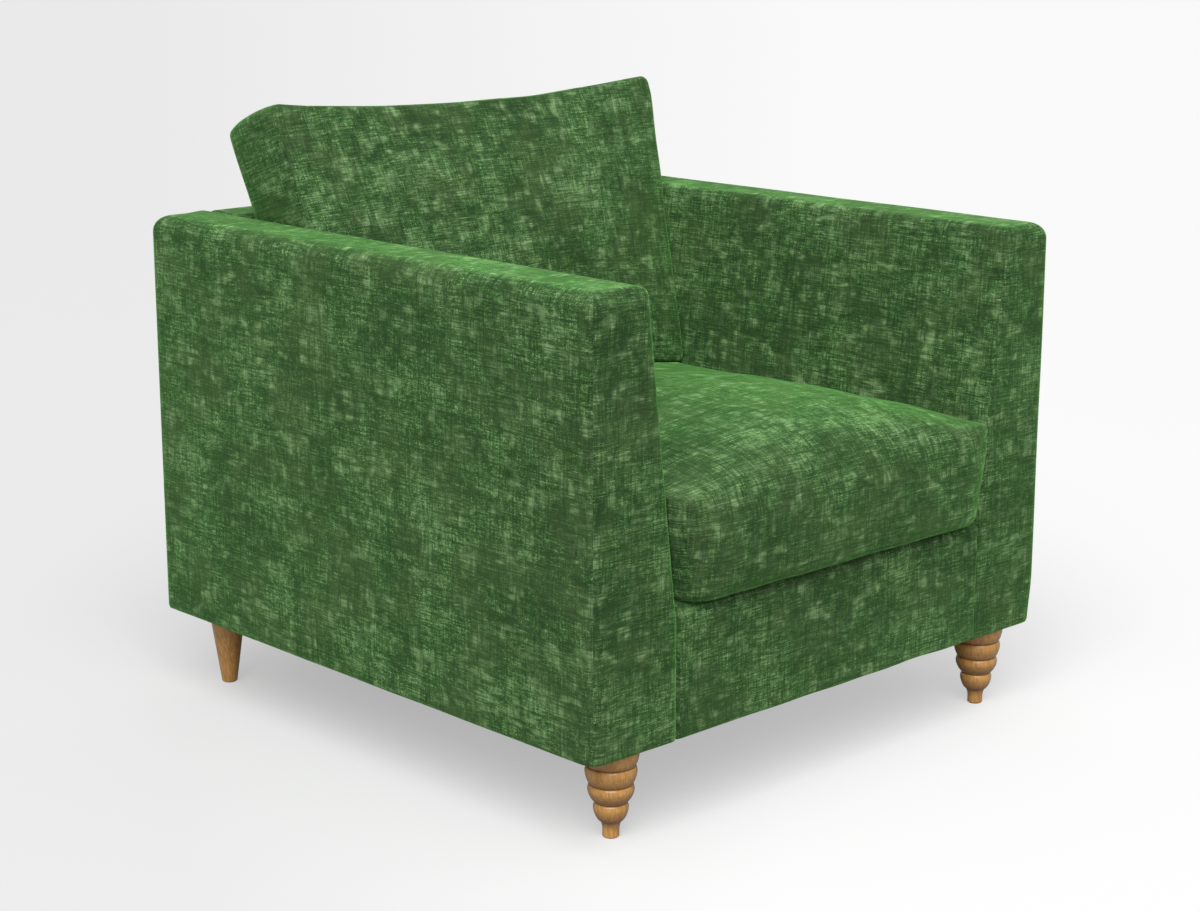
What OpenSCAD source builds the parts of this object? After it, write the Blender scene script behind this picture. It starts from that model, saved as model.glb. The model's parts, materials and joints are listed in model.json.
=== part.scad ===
// Upholstered armchair with straight sides, a loose boxed seat cushion and a loose leaning back cushion.
// The front faces -Y, the floor is z = 0, and the origin is below the middle of the whole chair.

/* [Body] */
// Width of the upholstered body, outside arm to outside arm
body_w = 860; // [800:10:940]
// Depth of the upholstered body, arm fronts to outside back
body_d = 900; // [860:10:960]
// Height of the upholstered body, underside to arm tops
body_h = 570; // [540:5:600]
// Height of the body's underside above the floor
leg_h = 115; // [95:5:150]
// Radius of the body's outer edges along its top
edge_r = 22; // [14:1:24]
// Radius of the arms' upright outer edges
upright_r = 12; // [8:1:20]
// Radius of the edge between an arm's inside face and its top
arm_inner_r = 10; // [8:1:20]
// Radius of the edge between the inside back and its top
back_inner_r = 18; // [10:1:20]

/* [Arms and back] */
// Thickness of an arm from the deck down
arm_base_t = 140; // [134:1:146]
// Thickness of an arm at its top
arm_top_t = 92; // [88:1:104]
// Thickness of the back panel
back_t = 95; // [90:1:104]

/* [Deck and front panel] */
// Height of the deck above the body's underside
deck_h = 177; // [170:1:186]
// How far the front panel stands in front of the arm fronts
panel_proud = 6; // [3:1:10]
// Height of the front panel's lower edge above the body's underside
panel_lift = 3; // [0:0.5:6]
// Radius of the front panel's upright edges
panel_r = 7; // [6:1:14]
// Radius of the front panel's top edge, below the cushion
panel_top_r = 18; // [12:1:20]
// Thickness of the felt pad over the springs
deck_pad_t = 13; // [8:1:16]

/* [Seat cushion] */
// How far the seat cushion stands in front of the arm fronts
seat_proud = 23; // [16:1:30]
// Height of the seat cushion's border
seat_border = 130; // [118:1:138]
// Height of the seat cushion's crown above its border
seat_crown = 65; // [45:1:75]
// Distance from the seat cushion's front to the height of its crown
seat_peak = 250; // [220:5:280]
// Corner radius of the seat cushion seen from above
seat_corner_r = 25; // [16:1:32]
// Gap between the seat cushion and each arm
seat_side_gap = 3; // [1:0.5:5]
// How far the seat cushion's long sides pull in between its corners
seat_draw = 3; // [0:0.5:6]
// Gap behind the seat cushion, which its zip needs
zip_room = 5; // [5:0.5:8]

/* [Back cushion] */
// Distance from the back cushion's front foot to the inside back
back_reach = 225; // [218:1:240]
// Height of the back cushion along its lean
back_cushion_h = 427; // [390:1:445]
// Greatest width of the back cushion, above the arms
back_cushion_w = 708; // [660:2:716]
// Width of the back cushion's border
back_border = 120; // [108:1:122]
// Lean of the back cushion from upright
back_lean = 17.5; // [15:0.5:18]
// Crown of the back cushion's front panel
back_front_crown = 38; // [20:1:45]
// Dip of the back cushion's top edge between its corners
back_dip = 21; // [0:1:30]
// Corner radius of the back cushion
back_corner_r = 20; // [16:1:34]

/* [Upholstery layers] */
// Thickness of the cover with its lining
cover_t = 3; // [2:0.5:4]
// Thickness of the wadding on the outside faces
wadding_t = 6; // [4:1:8]
// Thickness of the hardboard behind the outside faces
board_t = 3; // [2:0.5:4]
// Thickness of the foam on the arm fronts and tops
front_foam_t = 15; // [12:1:18]
// Thickness of the foam on the inside back
back_foam_t = 23; // [18:1:28]
// Thickness of the dust cover under the body
dust_cover_t = 1; // [0.5:0.1:1.5]

/* [Timber] */
// Thickness of the upright rails and of the front posts
rail_t = 25; // [20:1:28]
// Thickness of the base boards
base_t = 25; // [20:1:28]
// Width of the base boards
base_w = 100; // [90:1:120]
// Width of the posts seen from the front
post_w = 56; // [50:1:60]
// Thickness of the top rails
top_rail_t = 22; // [18:1:26]
// Height of the side seat rails
side_rail_h = 75; // [60:1:90]
// Height of the tacking rails
tack_rail_h = 28; // [24:1:34]
// Height of the tacking rails above the deck
tack_rail_lift = 10; // [6:1:20]
// Width of the upright in the middle of the back and of the brace in the base
brace_w = 60; // [40:1:80]
// Length of a corner block along each rail
corner_block_l = 60; // [55:1:80]
// Height of a corner block
corner_block_h = 55; // [50:1:60]

/* [Springs and webbing] */
// Number of springs side by side
spring_count = 5; // [3:1:6]
// Distance between the springs
spring_pitch = 112; // [90:1:112]
// Number of bends in a spring
spring_bends = 25; // [21:2:31]
// Width of a spring
spring_w = 52; // [46:1:60]
// Diameter of the spring wire
wire_d = 4; // [3:0.2:4.4]
// Thickness of the clip over the wire
clip_t = 1; // [0.6:0.1:1.4]
// Width of a clip along the rail
clip_w = 12; // [8:1:14]
// Depth of a clip across the rail
clip_d = 12; // [9:1:14]
// Number of webs on the back
web_count = 5; // [3:1:7]
// Width of a web
web_w = 50; // [40:1:60]
// Thickness of a web
web_t = 2; // [1:0.5:3]
// Distance between the webs
web_pitch = 110; // [70:1:110]

/* [Legs] */
// Distance of the legs from the outside of the arms
leg_side_inset = 71; // [60:1:80]
// Distance of the front legs from the arm fronts
front_leg_inset = 43; // [42:1:60]
// Distance of the back legs from the outside back
back_leg_inset = 51.5; // [45:0.5:70]
// Radius of a front leg's foot
foot_r = 10.5; // [8:0.1:12]
// Height of a front leg's straight foot
foot_h = 11; // [8:1:14]
// Height of the neck under the lowest bead
neck_h = 22; // [17:1:24]
// Radius of the neck under the lowest bead
neck_r = 14.5; // [13:0.5:16]
// Number of beads on a front leg
bead_count = 4; // [3:1:5]
// Radius of the lowest bead
bead_low_r = 22; // [19:0.5:24]
// Radius of the highest bead
bead_top_r = 35; // [31:0.5:37]
// Depth of the crease over a bead
crease_depth = 3.2; // [1:0.1:4]
// Radius of a back leg at the floor
back_leg_foot_r = 11; // [9:0.5:13]
// Radius of a back leg at its top
back_leg_top_r = 27.5; // [22:0.5:32]

/* [Fixings] */
// Radius of the leg bolts
bolt_r = 4; // [3:0.5:4.5]
// Length of a leg bolt inside its leg
bolt_in_leg = 33; // [24:1:40]
// Radius of the insert nut's flange
nut_flange_r = 11; // [8:0.5:12]
// Thickness of the insert nut's flange
nut_flange_t = 1.5; // [1:0.1:2]
// Radius of the insert nut's barrel
nut_barrel_r = 5.5; // [5:0.1:6]
// Length of the insert nut's barrel
nut_barrel_l = 10; // [8:1:14]
// Radius of the corner block screws
screw_r = 2; // [1.5:0.1:2.5]
// Radius of the screws' heads
screw_head_r = 4; // [3:0.1:5]
// Length of the screws
screw_l = 38; // [32:1:39]
// Wood left under a screw's head
screw_grip = 20; // [18:1:22]
// Distance of the zip's ends from the seat cushion's rounded corners
zip_inset = 7; // [4:1:60]
// Width of the zip's tape
zip_tape_w = 9; // [7:1:12]
// Width of the zip's slider along the zip
slider_w = 10; // [8:1:14]

/* [Hidden] */
$fn = 64;

// Clearances: a soft piece on its neighbour, and a bolt or screw in its hole
soft_gap = 0.3;
rest_gap = 0.8;
bolt_gap = 0.05;
cut = 1;

// Places of the body's faces
x_out = body_w / 2;
y_front = seat_proud / 2 - body_d / 2;
y_back = y_front + body_d;
z_under = leg_h;
z_top = z_under + body_h;
z_deck = z_under + deck_h;
x_in_base = x_out - arm_base_t;
x_in_top = x_out - arm_top_t;
y_in_back = y_back - back_t;

// Box that the timber fills, inside the foam, wadding and board
x_frame = x_out - cover_t - wadding_t - board_t;
y_frame_front = y_front + cover_t + front_foam_t;
y_frame_back = y_back - cover_t - wadding_t - board_t;
y_frame_in_back = y_in_back + cover_t + back_foam_t + web_t;
z_frame_top = z_top - cover_t - front_foam_t;
z_base = z_under + cover_t;
z_base_top = z_base + base_t;
z_pad = z_deck - cover_t - deck_pad_t;
z_rail_top = z_pad - soft_gap - clip_t - wire_d;
x_post = x_frame - post_w;
z_post_top = z_frame_top - top_rail_t;
y_front_rail = y_frame_front + rail_t;
y_back_rail = y_frame_in_back + rail_t;
z_tack = z_deck + tack_rail_lift;
x_side_rail = x_post - rail_t;

// Legs under the base boards
z_leg_top = z_base - dust_cover_t;
x_leg = x_out - leg_side_inset;
y_front_leg = y_front + front_leg_inset;
y_back_leg = y_back - back_leg_inset;

// Cushions
y_seat_front = y_front - seat_proud;
y_seat_rear = y_in_back - zip_room;
z_seat = z_deck + soft_gap;
z_seat_edge = z_seat + seat_border;
y_back_foot = y_in_back - back_reach;

green = "#3d7a38";
timber = "#c9a26b";
oak = "#c08a4c";
foam = "#efe3b4";
wadding = "#f2f2ee";
hardboard = "#8a6844";
steel = "#9aa0a6";

function unit(v) = v / norm(v);
function mix(a, b, s) = a + (b - a) * s;
function clamp01(v) = min(max(v, 0), 1);

// Share of its radius that a quarter round has turned at its middle
round_mid = 1 - cos(45);
function half_angle(p, a, b) = acos(unit(a - p) * unit(b - p)) / 2;

// Outline through points, each corner rounded by its own radius
module rounded(points, radii) {
    n = len(points);
    blunt = [for (i = [0:n - 1])
        let (p = points[i], a = points[(i + n - 1) % n], b = points[(i + 1) % n], r = radii[i])
        for (q = r <= 0 ? [p] : [for (e = [a, b]) p + unit(e - p) * r / tan(half_angle(p, a, b))]) q];
    union() {
        polygon(blunt);
        for (i = [0:n - 1]) {
            p = points[i];
            a = points[(i + n - 1) % n];
            b = points[(i + 1) % n];
            r = radii[i];
            if (r > 0)
                translate(p + unit(unit(a - p) + unit(b - p)) * r / sin(half_angle(p, a, b))) circle(r = r);
        }
    }
}

// Box between two corners
module block(low, high) {
    translate(low) cube(high - low);
}

// The same piece on the left, where x is negative, or on the right
module on_side(left) {
    if (left) mirror([1, 0, 0]) children();
    else children();
}

module on_both_sides() {
    on_side(false) children();
    on_side(true) children();
}

// Closed skin over rings of points, from the lowest ring to the highest, with a point in each end
module ring_solid(rings, first, last) {
    n = len(rings[0]);
    m = len(rings);
    sides = [for (k = [0:m - 2], j = [0:n - 1])
        let (a = k * n + j, b = k * n + (j + 1) % n)
        for (f = [[a, a + n, b + n], [a, b + n, b]]) f];
    ends = [for (j = [0:n - 1])
        let (i = (j + 1) % n)
        for (f = [[m * n, j, i], [m * n + 1, (m - 1) * n + i, (m - 1) * n + j]]) f];
    polyhedron(
        points = concat([for (r = rings) for (p = r) p], [first, last]),
        faces = concat(sides, ends));
}

// Rounded square from -1 to 1, counterclockwise, with its corner's share of each half side
function ring_outline(nx, ny, nc, rx, ry) = concat(
    [for (i = [0:nx - 1]) [mix(rx - 1, 1 - rx, i / nx), -1]],
    [for (i = [0:nc - 1]) [1 - rx + rx * sin(90 * i / nc), ry - 1 - ry * cos(90 * i / nc)]],
    [for (i = [0:ny - 1]) [1, mix(ry - 1, 1 - ry, i / ny)]],
    [for (i = [0:nc - 1]) [1 - rx + rx * cos(90 * i / nc), 1 - ry + ry * sin(90 * i / nc)]],
    [for (i = [0:nx - 1]) [mix(1 - rx, rx - 1, i / nx), 1]],
    [for (i = [0:nc - 1]) [rx - 1 - rx * sin(90 * i / nc), 1 - ry + ry * cos(90 * i / nc)]],
    [for (i = [0:ny - 1]) [-1, mix(1 - ry, ry - 1, i / ny)]],
    [for (i = [0:nc - 1]) [rx - 1 - rx * cos(90 * i / nc), ry - 1 - ry * sin(90 * i / nc)]]
);

// Inside face of an arm at a height: upright from the deck down, sloping outward above it
function arm_inside_x(z) = x_in_base + max(0, z - z_deck) * (x_in_top - x_in_base) / (z_top - z_deck);

// Base boards, laid flat, with a stepped hole over each leg
module leg_holes() {
    on_both_sides() for (y = [y_front_leg, y_back_leg]) {
        translate([x_leg, y, z_base - cut]) cylinder(r = nut_barrel_r + bolt_gap, h = base_t + 2 * cut);
        translate([x_leg, y, z_base_top - nut_flange_t])
            cylinder(r = nut_flange_r + bolt_gap, h = nut_flange_t + cut);
    }
}

module base_front() color(timber) difference() {
    block([-x_frame, y_frame_front, z_base], [x_frame, y_frame_front + base_w, z_base_top]);
    leg_holes();
}

module base_back() color(timber) difference() {
    block([-x_frame, y_frame_back - base_w, z_base], [x_frame, y_frame_back, z_base_top]);
    leg_holes();
}

module base_side(left) color(timber) on_side(left)
    block([x_frame - base_w, y_frame_front + base_w, z_base], [x_frame, y_frame_back - base_w, z_base_top]);

module base_brace() color(timber)
    block([-brace_w / 2, y_frame_front + base_w, z_base], [brace_w / 2, y_frame_back - base_w, z_base_top]);

// Seat rails, standing on the base boards and tied by the corner blocks
module front_rail() color(timber) difference() {
    block([-x_post, y_frame_front, z_base_top], [x_post, y_front_rail, z_rail_top]);
    screw_holes(screw_r + bolt_gap);
}

module back_rail() color(timber) difference() {
    block([-x_post, y_frame_in_back, z_base_top], [x_post, y_back_rail, z_rail_top]);
    screw_holes(screw_r + bolt_gap);
}

module side_rail(left) color(timber) difference() {
    on_side(left)
        block([x_side_rail, y_front_rail, z_rail_top - side_rail_h], [x_post, y_frame_in_back, z_rail_top]);
    screw_holes(screw_r + bolt_gap);
}

// Runs children at each inner corner of the seat rails, as if it were the front right one at the origin
module at_corners() {
    z_block = z_rail_top - (side_rail_h + corner_block_h) / 2;
    on_both_sides() {
        translate([x_side_rail, y_front_rail, z_block]) children();
        translate([x_side_rail, y_frame_in_back, z_block]) mirror([0, 1, 0]) children();
    }
}

// One screw into the cross rail and one into the side rail, at two heights
screw_along = 0.37;
screw_up = 0.3;

module screw_places() {
    inset = corner_block_l * screw_along;
    translate([-inset, screw_grip, corner_block_h * screw_up]) rotate([90, 0, 0]) children();
    translate([-screw_grip, inset, corner_block_h * (1 - screw_up)]) rotate([0, 90, 0]) children();
}

module screw_holes(r) {
    at_corners() screw_places() cylinder(r = r, h = screw_l + cut);
}

module corner_blocks() color(timber) at_corners() difference() {
    linear_extrude(corner_block_h) polygon([[0, 0], [0, corner_block_l], [-corner_block_l, 0]]);
    screw_places() {
        translate([0, 0, -cut]) cylinder(r = screw_r + bolt_gap, h = screw_l);
        translate([0, 0, -corner_block_l]) cylinder(r = screw_head_r + bolt_gap, h = corner_block_l);
    }
}

module corner_screws() color(steel) at_corners() screw_places() {
    cylinder(r = screw_r, h = screw_l);
    translate([0, 0, -screw_r]) cylinder(r = screw_head_r, h = screw_r);
}

// Arm frames
module front_post(left) color(timber) on_side(left)
    block([x_post, y_frame_front, z_base_top], [x_frame, y_front_rail, z_post_top]);

module back_post(left) color(timber) on_side(left)
    block([x_post, y_frame_in_back, z_base_top], [x_frame, y_frame_back, z_post_top]);

module arm_mid_post(left) color(timber) on_side(left)
    block([x_post + rail_t, -brace_w / 4, z_base_top], [x_frame, brace_w / 4, z_post_top]);

module arm_top_rail(left) color(timber) on_side(left)
    block([x_post, y_frame_front, z_post_top], [x_frame, y_frame_back, z_frame_top]);

module arm_tack_rail(left) color(timber) on_side(left)
    block([x_post, y_front_rail, z_tack], [x_post + rail_t, y_frame_in_back, z_tack + tack_rail_h]);

// Back frame
module back_top_rail() color(timber)
    block([-x_post, y_frame_in_back, z_post_top], [x_post, y_frame_back, z_frame_top]);

module back_tack_rail() color(timber)
    block([-x_post, y_frame_in_back, z_tack], [x_post, y_back_rail, z_tack + tack_rail_h]);

module back_mid_post() color(timber)
    block([-brace_w / 2, y_back_rail, z_base_top], [brace_w / 2, y_frame_back, z_post_top]);

// Sinuous springs from the front rail to the back rail, held by a clip at each end
y_spring_front = y_frame_front + rail_t / 2;
y_spring_back = y_frame_in_back + rail_t / 2;
bend_r = (y_spring_back - y_spring_front) / spring_bends / 2;
bar_half = spring_w / 2 - bend_r - wire_d / 2;
z_wire = z_rail_top + wire_d / 2;

module at_springs() {
    for (i = [0:spring_count - 1])
        translate([(i - (spring_count - 1) / 2) * spring_pitch, 0, z_wire]) children();
}

module seat_springs() color(steel) at_springs() {
    for (k = [0:spring_bends])
        translate([-bar_half, y_spring_front + 2 * k * bend_r, 0]) rotate([0, 90, 0])
            cylinder(d = wire_d, h = 2 * bar_half, $fn = 24);
    for (k = [0:spring_bends - 1]) {
        side = k % 2 == 0 ? 1 : -1;
        translate([side * bar_half, y_spring_front + (2 * k + 1) * bend_r, 0]) rotate([0, 0, -90 * side])
            rotate_extrude(angle = 180, $fn = 24) translate([bend_r, 0]) circle(d = wire_d, $fn = 24);
    }
}

module spring_clip() {
    wire_r = wire_d / 2 + bolt_gap;
    difference() {
        block([-clip_w / 2, -clip_d / 2, -wire_d / 2], [clip_w / 2, clip_d / 2, wire_d / 2 + clip_t]);
        translate([-clip_w / 2 - cut, 0, 0]) rotate([0, 90, 0]) cylinder(r = wire_r, h = clip_w + 2 * cut);
        block([-clip_w / 2 - cut, -wire_r, -wire_d], [clip_w / 2 + cut, wire_r, 0]);
    }
}

module spring_clips() color(steel) at_springs()
    for (y = [y_spring_front, y_spring_back]) translate([0, y, 0]) spring_clip();

// Webs on the face of the back frame, from the tacking rail to the top rail
module back_webs() color(hardboard)
    for (i = [0:web_count - 1]) translate([(i - (web_count - 1) / 2) * web_pitch, 0, 0])
        block([-web_w / 2, y_frame_in_back - web_t, z_tack], [web_w / 2, y_frame_in_back, z_frame_top]);

// Boards and wadding on the outside faces
module arm_board(left) color(hardboard) on_side(left)
    block([x_frame, y_frame_front, z_base], [x_frame + board_t, y_frame_back, z_frame_top]);

module back_board() color(hardboard)
    block([edge_r - x_out, y_frame_back, z_base], [x_out - edge_r, y_frame_back + board_t, z_frame_top]);

module back_wadding() color(wadding)
    block([edge_r - x_out, y_frame_back + board_t, z_base],
        [x_out - edge_r, y_back - cover_t, z_top - edge_r]);

// Outside form of an arm, drawn in by an inset, with rounded top and outer edges
module arm_form(inset, z_low) {
    low = y_front + inset;
    high = y_back - inset;
    top = z_top - inset;
    r = edge_r - inset;
    side_r = upright_r - inset;
    intersection() {
        translate([0, high, 0]) rotate([90, 0, 0]) linear_extrude(high - low) rounded(
            [[x_in_base + inset, z_low], [x_out - inset, z_low], [x_out - inset, top],
             [x_in_top + inset, top], [x_in_base + inset, z_deck]],
            [0, 0, r, arm_inner_r - inset, 0]);
        translate([0, 0, z_low]) linear_extrude(top - z_low) rounded(
            [[x_in_base, low], [x_out - inset, low], [x_out - inset, high], [x_in_base, high]],
            [0, side_r, side_r, 0]);
        translate([x_in_base, 0, 0]) rotate([90, 0, 90]) linear_extrude(arm_base_t) rounded(
            [[low, z_low], [high, z_low], [high, top], [low, top]], [0, 0, r, r]);
    }
}

// Foam and wadding round an arm's timber: thick on the inside face, where it makes the slope
module arm_foam(left) color(foam) on_side(left) difference() {
    arm_form(cover_t, z_base);
    block([x_post, y_frame_front, z_base - cut], [x_frame + board_t, y_frame_back, z_frame_top]);
    block([x_in_base, y_frame_front, z_base - cut], [x_post + cut, y_back, z_pad]);
    block([x_in_base, y_in_back + cover_t, z_base - cut], [x_post + cut, y_back, z_frame_top]);
    block([x_in_base, y_frame_back - cut, z_base - cut], [x_out - edge_r, y_back, z_frame_top]);
}

// Sewn sleeve over an arm: outside, front, top and inside in one cover, open below and to the back
module arm_cover(left) color(green) on_side(left) difference() {
    arm_form(0, z_under);
    arm_form(cover_t, z_under - cut);
    block([x_in_base - cut, y_front + cover_t, z_under - cut], [x_in_base + cover_t + cut, y_back, z_pad]);
    block([x_in_base - cut, y_in_back + cover_t, z_under - cut], [x_post, y_back - cover_t, z_frame_top]);
    block([x_in_base - cut, y_back - cover_t - cut, z_under - cut],
        [x_out - edge_r, y_back + cut, z_top - edge_r]);
}

// Outline of the inside back between the arms, following their slope
module between_arms(y_low, y_high, z_low) {
    translate([0, y_high, 0]) rotate([90, 0, 0]) linear_extrude(y_high - y_low) polygon([
        [-x_in_base, z_low], [x_in_base, z_low], [x_in_base, z_deck],
        [x_in_top, z_top], [-x_in_top, z_top], [-x_in_base, z_deck]]);
}

// Section of the back panel's form, drawn in by an inset
module back_section(inset, z_low) {
    translate([-x_in_top, 0, 0]) rotate([90, 0, 90]) linear_extrude(2 * x_in_top) rounded(
        [[y_in_back + inset, z_low], [y_back - inset, z_low], [y_back - inset, z_top - inset],
         [y_in_back + inset, z_top - inset]],
        [0, 0, edge_r - inset, back_inner_r - inset]);
}

module back_foam() color(foam) intersection() {
    between_arms(y_in_back, y_back, z_pad);
    difference() {
        back_section(cover_t, z_pad);
        block([-x_out, y_frame_in_back - web_t, 0], [x_out, y_back, z_frame_top]);
    }
}

module back_cover() color(green) intersection() {
    between_arms(y_in_back, y_back, z_pad);
    difference() {
        back_section(0, z_pad);
        back_section(cover_t, z_pad - cut);
        block([-x_out, y_back - cover_t - cut, 0], [x_out, y_back + cut, z_top - edge_r]);
    }
}

module outside_back_cover() color(green)
    block([edge_r - x_out, y_back - cover_t, z_under], [x_out - edge_r, y_back, z_top - edge_r]);

// Front panel below the cushion, between the arms, with rounded edges
module panel_form(inset, y_rear) {
    half_w = x_in_base - inset;
    low = y_front - panel_proud + inset;
    low_z = z_under + panel_lift + inset;
    r = panel_r - inset;
    top_r = panel_top_r - inset;
    intersection() {
        translate([0, 0, low_z]) linear_extrude(z_deck - inset - low_z) rounded(
            [[-half_w, low], [half_w, low], [half_w, y_rear], [-half_w, y_rear]], [r, r, 0, 0]);
        translate([-half_w, 0, 0]) rotate([90, 0, 90]) linear_extrude(2 * half_w) rounded(
            [[low, low_z], [y_rear, low_z], [y_rear, z_deck - inset], [low, z_deck - inset]],
            [r / 2, 0, 0, top_r]);
    }
}

module panel_foam() color(foam) panel_form(cover_t, y_frame_front);

module panel_cover() color(green) difference() {
    panel_form(0, y_frame_front);
    panel_form(cover_t, y_frame_front + cut);
}

// Deck under the seat cushion: a felt pad over the springs, and its cover
module deck_pad() color(wadding)
    block([-x_in_base, y_frame_front, z_pad], [x_in_base, y_in_back, z_deck - cover_t]);

module deck_cover() color(green)
    block([-x_in_base, y_frame_front, z_deck - cover_t], [x_in_base, y_in_back, z_deck]);

module dust_cover() color("#2a2a2a") difference() {
    block([-x_frame, y_frame_front, z_leg_top], [x_frame, y_frame_back, z_base]);
    on_both_sides() for (y = [y_front_leg, y_back_leg])
        translate([x_leg, y, z_leg_top - cut]) cylinder(r = bolt_r + 1, h = dust_cover_t + 2 * cut);
}

// Turned front leg: a straight foot, a neck and a pile of beads that widen upward
bead_h = (z_leg_top - neck_h) / bead_count;
bead_widest = 0.7;
bead_spread = 0.55;
bead_belly = 1.33;
bead_steps = 6;
foot_chamfer = 1.5;

// The foot's hollow flare into the neck: its shares of the way out and of the way up
flare = [[0.08, 0.25], [0.24, 0.5], [0.5, 0.78]];
function bead_r(i) = mix(bead_low_r, bead_top_r, pow(i / (bead_count - 1), bead_spread));
function crease_r(i) = i == 0 ? neck_r : bead_r(i - 1) - crease_depth;
function bead(i, n) = let (z = neck_h + i * bead_h, wide = bead_h * bead_widest) concat(
    [for (k = [0:n - 1]) let (a = 90 * k / n)
        [mix(crease_r(i), bead_r(i), pow(sin(a), bead_belly)), z + wide * (1 - pow(cos(a), bead_belly))]],
    [for (k = [0:n]) let (a = 90 * k / n)
        [mix(bead_r(i) - crease_depth, bead_r(i), cos(a)), z + wide + (bead_h - wide) * sin(a)]]);

module bolt_hole() {
    translate([0, 0, z_leg_top - bolt_in_leg - cut])
        cylinder(r = bolt_r + bolt_gap, h = bolt_in_leg + 2 * cut);
}

module front_leg(left) color(oak) on_side(left) translate([x_leg, y_front_leg, 0]) difference() {
    rotate_extrude() polygon(concat(
        [[0, 0], [foot_r - foot_chamfer, 0], [foot_r, foot_chamfer], [foot_r, foot_h]],
        [for (f = flare) [mix(foot_r, neck_r, f[0]), mix(foot_h, neck_h, f[1])]],
        [for (i = [0:bead_count - 1]) for (p = bead(i, bead_steps)) p],
        [[0, z_leg_top]]));
    bolt_hole();
}

module back_leg(left) color(oak) on_side(left) translate([x_leg, y_back_leg, 0]) difference() {
    rotate_extrude() polygon([
        [0, 0], [back_leg_foot_r - foot_chamfer, 0], [back_leg_foot_r, foot_chamfer],
        [back_leg_top_r, z_leg_top], [0, z_leg_top]]);
    bolt_hole();
}

// Bolts and insert nuts that hold the legs
module at_legs() {
    on_both_sides() for (y = [y_front_leg, y_back_leg]) translate([x_leg, y, 0]) children();
}

module leg_bolts() color(steel) at_legs()
    translate([0, 0, z_leg_top - bolt_in_leg])
        cylinder(r = bolt_r, h = z_base_top - cut - z_leg_top + bolt_in_leg);

module insert_nuts() color(steel) at_legs() difference() {
    union() {
        translate([0, 0, z_base_top - nut_flange_t]) cylinder(r = nut_flange_r, h = nut_flange_t);
        translate([0, 0, z_base_top - nut_flange_t - nut_barrel_l])
            cylinder(r = nut_barrel_r, h = nut_barrel_l + nut_flange_t);
    }
    translate([0, 0, z_base]) cylinder(r = bolt_r + bolt_gap, h = base_t + cut);
}

// Top of the seat cushion: rises softly behind its front edge, falls away under the back cushion
seat_rise_l = 200;
rise_power = 4;
crown_power = 2.4;
function seat_half_w(z) = arm_inside_x(z) - seat_side_gap;
function seat_rise(y) = 1 - pow(1 - clamp01((y - y_seat_front) / seat_rise_l), rise_power);
function seat_fall(y) = let (y_peak = y_seat_front + seat_peak)
    (1 + cos(180 * clamp01((y - y_peak) / (y_seat_rear - y_peak)))) / 2;
function seat_side(x) = 1 - pow(clamp01(abs(x) / seat_half_w(z_seat_edge)), crown_power);
function seat_top(x, y) = z_seat_edge + seat_crown * seat_side(x) * seat_rise(y) * seat_fall(y);

seat_half_d = (y_seat_rear - y_seat_front) / 2;
seat_outline = ring_outline(12, 14, 4, seat_corner_r / seat_half_w(z_seat), seat_corner_r / seat_half_d);

// Ring of the seat cushion's border at a height, drawn in by an inset
function seat_border_ring(z, inset) = [for (p = seat_outline) [
    p[0] * (seat_half_w(z) - inset - seat_draw * (1 - p[1] * p[1])),
    y_seat_front + seat_half_d + p[1] * (seat_half_d - inset),
    z]];

// Ring of the crown, a share of the way out from the middle of the cushion
function seat_crown_ring(share) = [for (p = seat_border_ring(z_seat_edge, 0)) let (
    x = p[0] * share,
    y = mix(y_seat_front + seat_half_d, p[1], share)) [x, y, seat_top(x, y)]];

// Soft edges of the border, and the distance of the core from the cover's outside
seat_under_r = 9;
seat_seam_r = 16;
seat_core_gap = 16;
under_mid = seat_under_r * round_mid;
seam_mid = seat_seam_r * round_mid;
seat_core_half_w = seat_half_w(z_seat) - seat_core_gap;
seat_core_low = [-seat_core_half_w, y_seat_front + seat_core_gap, z_seat + seat_core_gap];
seat_core_high = [seat_core_half_w, y_seat_rear - seat_core_gap, z_seat_edge - seat_core_gap];
seat_crown_shares = [0.96, 0.88, 0.78, 0.66, 0.52, 0.38, 0.24, 0.1];

module seat_cushion_cover() color(green) difference() {
    ring_solid(
        concat(
            [seat_border_ring(z_seat, seat_under_r), seat_border_ring(z_seat + under_mid, under_mid),
             seat_border_ring(z_seat + seat_under_r, 0), seat_border_ring(z_seat_edge - seat_seam_r, 0),
             seat_border_ring(z_seat_edge - seam_mid, seam_mid)],
            [for (share = seat_crown_shares) seat_crown_ring(share)]),
        [0, y_seat_front + seat_half_d, z_seat],
        [0, y_seat_front + seat_half_d, seat_top(0, y_seat_front + seat_half_d)]);
    block(seat_core_low, seat_core_high);
}

module seat_cushion_core() color(foam) block(seat_core_low, seat_core_high);

// Zip along the seat cushion's rear border, with a slider that runs along it
z_zip = z_seat + seat_border / 2;
zip_half_l = seat_half_w(z_seat) - seat_corner_r - zip_inset;
tape_t = 0.8;
teeth_t = 1.2;
teeth_w = 3;
slider_t = 3;
slider_h = 8;
tab_l = 16;
tab_t = 1;

module seat_zip() color("#26401f") {
    block([-zip_half_l, y_seat_rear, z_zip - zip_tape_w / 2],
        [zip_half_l, y_seat_rear + tape_t, z_zip + zip_tape_w / 2]);
    block([-zip_half_l, y_seat_rear + tape_t, z_zip - teeth_w / 2],
        [zip_half_l, y_seat_rear + tape_t + teeth_t, z_zip + teeth_w / 2]);
}

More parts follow.
